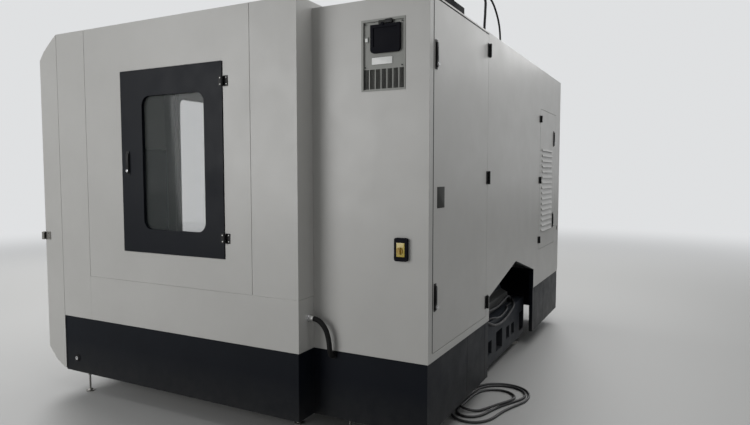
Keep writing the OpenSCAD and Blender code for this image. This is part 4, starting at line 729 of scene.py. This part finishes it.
# What each node wears: its finish, and how far its edges are rounded
wear = {
    "base_casting": ("casting", 0.004), "column": ("casting", 0.004), "levelling_feet": ("dullSteel", 0),
    "y_axis": ("steel", 0), "z_axis": ("steel", 0), "chip_pan": ("steel", 0), "splash_wall": ("chamber", 0),
    "front_fascia": ("white", 0.002), "guard_front": ("white", 0.002), "guard_skirt": ("white", 0.002),
    "guard_surround": ("white", 0.002), "guard_rear": ("white", 0.002), "guard_left": ("white", 0.002),
    "roof_panels": ("white", 0.002), "column_cover": ("coverBlack", 0.002),
    "plinth_panels": ("charcoal", 0.002), "cabinet_shell": ("white", 0.002), "drive_plate": ("zinc", 0),
    "rear_panel": ("white", 0.002), "left_rear_shell": ("white", 0.002), "ac_unit": ("unitGrey", 0.001),
    "ac_screen": ("screen", 0), "isolator_box": ("screen", 0.002), "cable_glands": ("chrome", 0.0008),
    "edge_bracket": ("dullSteel", 0.0008), "lube_unit": ("white", 0.002),
    "hinges": ("blackPlastic", 0.0006), "magazine_frame": ("casting", 0.003),
    "isolator_handle": ("orange", 0.0012), "service_door": ("charcoal", 0.002),
    "service_glass": ("glass", 0), "cabinet_door": ("white", 0.002), "louvre_door": ("white", 0.0008),
    "front_door_right": ("white", 0.002), "front_door_left": ("white", 0.002),
    "front_glass_right": ("glass", 0), "front_glass_left": ("glass", 0), "saddle": ("casting", 0.004),
    "x_axis": ("steel", 0), "table": ("steel", 0.0015), "spindle_head": ("casting", 0.004),
    "spindle": ("steel", 0.001), "tool_carousel": ("steel", 0), "change_arm": ("steel", 0.002),
    "pendant": ("charcoal", 0.002), "emergency_stop": ("red", 0.002),
    "override_knob": ("blackPlastic", 0.0015), "start_button": ("green", 0.001),
}
dressed = {node: dress(node, finish, width) for node, (finish, width) in wear.items()}
print("stage: the nodes are dressed")


def paintWithin(node, finish, regions):
    # The faces whose middles lie in one of the regions take another finish
    mesh = dressed[node].data
    mesh.materials.append(finishes[finish])
    slot = len(mesh.materials) - 1
    for face in mesh.polygons:
        c = face.center
        for low, high in regions:
            if all(low[k] <= c[k] <= high[k] for k in range(3)):
                face.material_index = slot
                break


handlePlaces = {
    # lever's node and body: axis point of the lever, way out, door that it sits on
    "cabinet_handle_top": ((1.835, 1.605, 2.424), "y", "cabinet_door"),
    "cabinet_handle_bottom": ((1.835, 1.605, 1.014), "y", "cabinet_door"),
    "louvre_handle_top": ((-1.583, 1.605, 2.114), "y", "louvre_door"),
    "louvre_handle_bottom": ((-1.583, 1.605, 1.235), "y", "louvre_door"),
    "service_handle": ((2.106, -0.635, 1.818), "x", "service_door"),
}
hingePlaces = {
    # door's node and body: place of the pins along the face, heights, half height, way out,
    # side on which the door's leaf lies
    "cabinet_door": (0.810, (0.732, 1.653, 2.570), 0.0475, "y", 1),
    "louvre_door": (-0.920, (1.025, 1.617, 2.217), 0.033, "y", -1),
    "service_door": (0.253, (1.261, 2.275), 0.033, "x", -1),
}
doorSkin = {"x": (2.1063, 2.2), "y": (1.6053, 1.7)}    # from just proud of the doors' sheet outwards
leafZone = {"behind": 0.009, "ahead": 0.038, "over": 0.002}
handleZone = {"half": 0.022, "below": 0.154, "above": 0.026}
paintZones = [
    # painted shade: the deep faces of the air slots are painted near black, and the folded rim of the rear
    # cut-out is painted charcoal, for the shade inside them
    ("ac_unit", "slotShadeBlack", [((1.905, 1.175, 2.176), (1.9235, 1.452, 2.297))]),
    ("rear_panel", "charcoal", [((-0.78, 1.45, 0.40), (0.78, 1.6035, 0.96))]),
    # glands of the side hose and of both ends of the floor cable
    ("cable_glands", "blackPlastic", [((1.90, 0.93, 0.50), (1.97, 1.00, 0.60)),
                                      ((0.86, 1.20, 0.25), (0.95, 1.28, 0.33)),
                                      ((1.20, 1.25, 0.55), (1.30, 1.35, 0.61))]),
    ("lube_unit", "unitGrey", [((-1.80, 0.85, 0.90), (-1.00, 1.55, 1.70))]),
    # the column's foot is painted a lighter grey than the casting, partly its own grey and partly painted light
    # falling on it
    ("column", "litFootGrey", [((-0.90, 1.25, 0.44), (0.90, 1.50, 0.62))]),
    # pull bars of the front doors, keys and screen of the operator panel
    ("front_door_right", "zinc", [((0.040, -1.60, 1.36), (0.085, -1.5008, 1.78))]),
    ("front_door_left", "zinc", [((-0.085, -1.60, 1.36), (-0.040, -1.5008, 1.78))]),
    ("pendant", "keyGrey", [((0.965, -1.5875, 1.315), (1.335, -1.5832, 1.530))]),
    ("pendant", "screen", [((0.96, -1.6001, 1.570), (1.34, -1.598, 1.862))]),
]


def onFace(way, out, along, z):
    # A point by its distance out, its place along the side or the rear, and its height
    return (out, along, z) if way == "x" else (along, out, z)


def skinZone(way, left, right, low, high):
    near, far = doorSkin[way]
    return onFace(way, near, left, low), onFace(way, far, right, high)


def paintFittings():
    for node, (pin, heights, half, way, side) in hingePlaces.items():
        left, right = sorted((pin - side * leafZone["behind"], pin + side * leafZone["ahead"]))
        tall = half + leafZone["over"]
        regions = [skinZone(way, left, right, z - tall, z + tall) for z in heights]
        for (x, y, z), out, door in handlePlaces.values():
            if door == node:
                along = y if out == "x" else x
                regions.append(skinZone(out, along - handleZone["half"], along + handleZone["half"],
                                        z - handleZone["below"], z + handleZone["above"]))
        paintWithin(node, "blackPlastic", regions)
    for node, finish, regions in paintZones:
        paintWithin(node, finish, regions)


paintFittings()
print("stage: fittings are painted")


def ringPoints(cx, cy, r, count):
    return [(cx + r * math.cos(2 * math.pi * k / count), cy + r * math.sin(2 * math.pi * k / count))
            for k in range(count)]


def bridgeRings(bm, a, b):
    n = len(a)
    for k in range(n):
        bm.faces.new((a[k], a[(k + 1) % n], b[(k + 1) % n], b[k]))


def addPlate(bm, outline, low, high, rim, segments=2):
    # A plate of that outline in the local yz plane, its outer rim rounded
    back = [bm.verts.new((low, y, z)) for y, z in outline]
    front = [bm.verts.new((high, y, z)) for y, z in outline]
    bm.faces.new(back[::-1])
    top = bm.faces.new(front)
    bridgeRings(bm, back, front)
    roundEdges(bm, list(top.edges), rim, segments)


def addTurned(bm, profile, centre=(0, 0, 0), sides=24):
    # A turned piece about the local x axis: profile is (out, radius) from foot to face
    rings = [[bm.verts.new((out + centre[0], y, z)) for y, z in ringPoints(centre[1], centre[2], r, sides)]
             for out, r in profile]
    for a, b in zip(rings, rings[1:]):
        bridgeRings(bm, a, b)
    bm.faces.new(rings[0][::-1])
    bm.faces.new(rings[-1])


def stadium(half, top, low):
    # Outline of an upright slot with round ends
    steps = 10
    angles = [math.pi * k / steps for k in range(steps + 1)]
    upper = [(half * math.cos(a), top - half + half * math.sin(a)) for a in angles]
    lower = [(-half * math.cos(a), low + half - half * math.sin(a)) for a in angles]
    return upper + lower


def roundRect(y0, y1, z0, z1, r, steps=4):
    out = []
    corners = ((y1 - r, z1 - r, 0), (y0 + r, z1 - r, 90), (y0 + r, z0 + r, 180), (y1 - r, z0 + r, 270))
    for cy, cz, start in corners:
        for k in range(steps + 1):
            a = math.radians(start + 90 * k / steps)
            out.append((cy + r * math.cos(a), cz + r * math.sin(a)))
    return out


# Local x is out of the face; each way turns it to that side of the machine
wayTurns = {"x": Matrix.Identity(3), "y": Matrix.Rotation(math.radians(90), 3, "Z"),
            "-z": Matrix.Rotation(math.radians(90), 3, "Y")}


def putOnFace(bm, base, way):
    for v in bm.verts:
        v.co = wayTurns[way] @ v.co + Vector(base)


swingHandle = {
    "sideOut": 0.0010,   # how much prouder the service door's handle sits
    "housing": {"shape": (0.0155, 0.0195, -0.1405), "out": 0.0052, "rim": 0.0018},
    "lever": {"shape": (0.0120, 0.0130, -0.1330), "out": (0.0060, 0.0122), "rim": 0.004},
    "grip": {"shape": (0.0075, -0.016, -0.094), "out": (-0.0006, 0.0014), "rim": 0.0010},
    "boss": 0.011,
    "lock": {"radius": 0.0092, "at": -0.116, "face": {"x": 0.0162, "y": 0.0215}},
}


def buildHandles():
    housing, lever, grip, lock = (swingHandle[part] for part in ("housing", "lever", "grip", "lock"))
    foot, top = lever["out"]
    for node, ((x, y, z), way, door) in handlePlaces.items():
        base = (x + swingHandle["sideOut"], y, z) if way == "x" else (x, y, z)
        bm = bmesh.new()
        addPlate(bm, stadium(*lever["shape"]), foot, top, lever["rim"], 3)
        # thumb grip low on the lever, and the boss it turns on
        addPlate(bm, stadium(*grip["shape"]), top + grip["out"][0], top + grip["out"][1], grip["rim"])
        addTurned(bm, [(housing["out"], swingHandle["boss"]), (foot + 0.001, swingHandle["boss"])], sides=20)
        putOnFace(bm, base, way)
        piece = finishPiece(bm, node + "Lever", "blackPlastic", node)
        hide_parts(node)
        giveFinish(nodes[node], "blackPlastic")
        bm = bmesh.new()
        r, face = lock["radius"], lock["face"][way]
        addTurned(bm, [(top - 0.001, r + 0.0012), (top + 0.002, r + 0.0010), (top + 0.0024, r),
                       (face - 0.0006, r), (face, r - 0.0006)], (0, 0, lock["at"]))
        putOnFace(bm, base, way)
        finishPiece(bm, node + "Lock", "chrome", node)
        bm = bmesh.new()
        addPlate(bm, stadium(*housing["shape"]), 0.0, housing["out"], housing["rim"])
        putOnFace(bm, base, way)
        finishPiece(bm, node + "Housing", "blackPlastic", door)


buildHandles()
print("stage: handles")


def screwTree():
    # Heads on points, each facing along the point's own direction
    tree, start, end = newTree("screwHeads", [("Head", "Object", None), ("Radius", "Float", 0.004),
                                              ("Finish", "Material", None)])
    link = tree.links.new
    info = tree.nodes.new("GeometryNodeObjectInfo")
    link(start.outputs["Head"], info.inputs["Object"])
    facing = tree.nodes.new("GeometryNodeInputNamedAttribute")
    facing.data_type = "FLOAT_VECTOR"
    facing.inputs["Name"].default_value = "facing"
    align = tree.nodes.new("FunctionNodeAlignRotationToVector")
    align.axis = "Z"
    link(facing.outputs["Attribute"], align.inputs["Vector"])
    dots = tree.nodes.new("GeometryNodeMeshToPoints")
    link(start.outputs["Geometry"], dots.inputs["Mesh"])
    put = tree.nodes.new("GeometryNodeInstanceOnPoints")
    link(dots.outputs[0], put.inputs["Points"])
    link(info.outputs["Geometry"], put.inputs["Instance"])
    link(align.outputs[0], put.inputs["Rotation"])
    link(start.outputs["Radius"], put.inputs["Scale"])
    real = tree.nodes.new("GeometryNodeRealizeInstances")
    link(put.outputs[0], real.inputs[0])
    coat = tree.nodes.new("GeometryNodeSetMaterial")
    link(real.outputs[0], coat.inputs["Geometry"])
    link(start.outputs["Finish"], coat.inputs["Material"])
    link(coat.outputs[0], end.inputs[0])
    return tree


panHead = {
    "sides": 18, "smoothUnder": 38,
    # radius and height of each ring, for a head of radius 1
    "dome": ((1.0, 0.0), (1.0, 0.18), (0.93, 0.38), (0.76, 0.52), (0.50, 0.58)),
    "recess": 0.42, "recessHeights": (0.58, 0.24),
}


def makeHead():
    bm = bmesh.new()
    sides = panHead["sides"]
    rings = [[bm.verts.new((x, y, z)) for x, y in ringPoints(0, 0, r, sides)] for r, z in panHead["dome"]]
    for z in panHead["recessHeights"]:
        # the hexagon has as many points as the rings, so that the two join
        hexagon = []
        for k in range(sides):
            a = 2 * math.pi * k / sides
            r = panHead["recess"] * math.cos(math.pi / 6) / math.cos((a % (math.pi / 3)) - math.pi / 6)
            hexagon.append(bm.verts.new((r * math.cos(a), r * math.sin(a), z)))
        rings.append(hexagon)
    for a, b in zip(rings, rings[1:]):
        bridgeRings(bm, a, b)
    bm.faces.new(rings[-1])
    bm.faces.new(rings[0][::-1])
    bmesh.ops.recalc_face_normals(bm, faces=bm.faces)
    mesh = bpy.data.meshes.new("panHead")
    bm.to_mesh(mesh)
    bm.free()
    shadeByAngle(mesh, panHead["smoothUnder"])
    return linkMesh(mesh, "panHead")


def setScrews(tree, head, name, way, spots, radius, finish, body):
    mesh = bpy.data.meshes.new(name)
    mesh.from_pydata(spots, [], [])
    facing = mesh.attributes.new("facing", "FLOAT_VECTOR", "POINT")
    for slot in facing.data:
        slot.vector = (1, 0, 0) if way == "x" else (0, 1, 0)
    piece = linkMesh(mesh, name)
    values = {"Head": head, "Radius": radius, "Finish": finishes[finish]}
    setInputs(piece.modifiers.new("screws", "NODES"), tree, values)
    piece = plainMesh(piece, name)
    giveFinish(piece, finish)
    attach(piece, body)


hingeScrews = {
    "spread": 0.62,   # of the hinge's half height
    "moving": (0.022, 0.0048), "fixed": (0.024, 0.0044),   # distance from the pin, radius
    "seats": {"x": (2.1095, 2.1035), "y": (1.6085, 1.6085)},   # moving leaf, fixed leaf
    "finish": {"x": "zinc", "y": "blackPlastic"},
}
lidScrews = {
    # face that they sit on, their y, their z, radius
    "acUnitScrews": (1.9322, (1.1935, 1.434), (2.3065, 2.556), 0.0045),
    "isolatorScrews": (1.9522, (1.403, 1.471), (1.180, 1.301), 0.0032),
}


def buildScrews():
    tree = screwTree()
    head = makeHead()
    for node, (pin, heights, half, way, side) in hingePlaces.items():
        seats, finish = hingeScrews["seats"][way], hingeScrews["finish"][way]
        spread = half * hingeScrews["spread"]
        levels = [z + dz for z in heights for dz in (-spread, spread)]
        away, radius = hingeScrews["moving"]
        spots = [onFace(way, seats[0], pin + side * away, z) for z in levels]
        setScrews(tree, head, node + "LeafScrews", way, spots, radius, finish, node)
        away, radius = hingeScrews["fixed"]
        spots = [onFace(way, seats[1], pin - side * away, z) for z in levels]
        setScrews(tree, head, node + "FixedScrews", way, spots, radius, finish, "machine")
    for name, (seat, columns, levels, radius) in lidScrews.items():
        spots = [(seat, y, z) for y in columns for z in levels]
        setScrews(tree, head, name, "x", spots, radius, "blackPlastic", "machine")
    bpy.data.objects.remove(head)


buildScrews()
print("stage: screws")


rear = 1.605   # outer face of the cabinet door and the rear panel
bootProfile = [(0.0, 0.0150), (0.006, 0.0150), (0.008, 0.0138), (0.012, 0.0146), (0.015, 0.0132),
               (0.019, 0.0138), (0.022, 0.0124), (0.026, 0.0129), (0.029, 0.0116), (0.034, 0.0112),
               (0.036, 0.0100)]
# A plate is outline, foot, face and rim; a turned piece is profile, centre and sides.
# They ride on the machine and are drawn in its place unless an entry says otherwise.
fittings = {
    # yellow face of the isolator, behind its knob
    "isolatorFace": {"finish": "yellow", "plate": (
        roundRect(1.411, 1.463, 1.199, 1.281, 0.003), 1.954, 1.9553, 0.0006)},
    # bare rating plate on the cabinet's door
    "ratingPlateBare": {"finish": "plateGrey", "body": "cabinet_door", "at": ((0, rear, 0), "y"), "plate": (
        roundRect(-1.808, -1.690, 1.479, 1.605, 0.003), 0.0, 0.0016, 0.0005)},
    # bare label, light display, connector and plug of the cooling unit
    "acLabelBare": {"finish": "labelWhite", "plate": (
        roundRect(1.236, 1.37, 2.321, 2.361, 0.004), 1.928, 1.929, 0.0004)},
    "acDisplayFrame": {"finish": "unitGrey", "plate": (
        roundRect(1.190, 1.213, 2.452, 2.482, 0.002), 1.928, 1.9305, 0.0008)},
    "acDisplayFace": {"finish": "labelWhite", "plate": (
        roundRect(1.194, 1.209, 2.457, 2.477, 0.001), 1.9304, 1.9308, 0.0002)},
    "acConnector": {"finish": "plateGrey", "plate": (
        roundRect(1.284, 1.334, 2.549, 2.571, 0.003), 1.928, 1.940, 0.002)},
    "acPlug": {"finish": "blackPlastic", "plate": (
        roundRect(1.330, 1.374, 2.552, 2.574, 0.004), 1.928, 1.944, 0.002)},
    # key escutcheon beside the louvred door
    "keyEscutcheon": {"finish": "blackPlastic", "at": ((-1.842, rear, 1.072), "y"),
                      "plate": (stadium(0.010, 0.024, -0.024), 0.0, 0.003, 0.001),
                      "turned": ([(0.003, 0.005), (0.006, 0.005)], (0, 0, 0), 16)},
    # dark seals in the joints at the cabinet door's free edge and top; their black also paints the shade in the
    # joints
    "cabinetDoorSeal": {"finish": "rubber", "at": ((0, rear, 0), "y"), "plate": (
        roundRect(-1.8745, -1.8660, 0.628, 2.6885, 0.001, 1), -0.001, 0.0008, 0.0003)},
    "cabinetDoorSealTop": {"finish": "rubber", "at": ((0, rear, 0), "y"), "plate": (
        roundRect(-1.8660, -0.8220, 2.6805, 2.6885, 0.001, 1), -0.001, 0.0008, 0.0003)},
    # light ferrule of the side hose
    "sideHoseFerrule": {"finish": "zinc", "at": ((1.990, 0.838, 0.777), "y"), "turned": (
        [(0.0, 0.0185), (0.004, 0.0195), (0.010, 0.0195), (0.013, 0.0178), (0.017, 0.0178), (0.019, 0.0170)],)},
    # tapered boots where the floor cable leaves its glands
    "leadBoot": {"finish": "rubber", "at": ((1.250, 1.300, 0.561), "-z"), "turned": (bootProfile,)},
    "returnBoot": {"finish": "rubber", "at": ((0.898, 1.240, 0.290), "x"), "turned": (bootProfile,)},
    # rubber ring round the drain fitting
    "drainRing": {"finish": "rubber", "turned": (
        [(2.094, 0.027), (2.098, 0.027), (2.100, 0.024), (2.100, 0.0155), (2.094, 0.0155)],
        (0, -1.272, 0.249), 28)},
}


def buildFittings():
    for name, part in fittings.items():
        bm = bmesh.new()
        if "plate" in part:
            addPlate(bm, *part["plate"])
        if "turned" in part:
            addTurned(bm, *part["turned"])
        putOnFace(bm, *part.get("at", ((0, 0, 0), "x")))
        finishPiece(bm, name, part["finish"], part.get("body", "machine"))


buildFittings()
print("stage: plates, seals and boots")
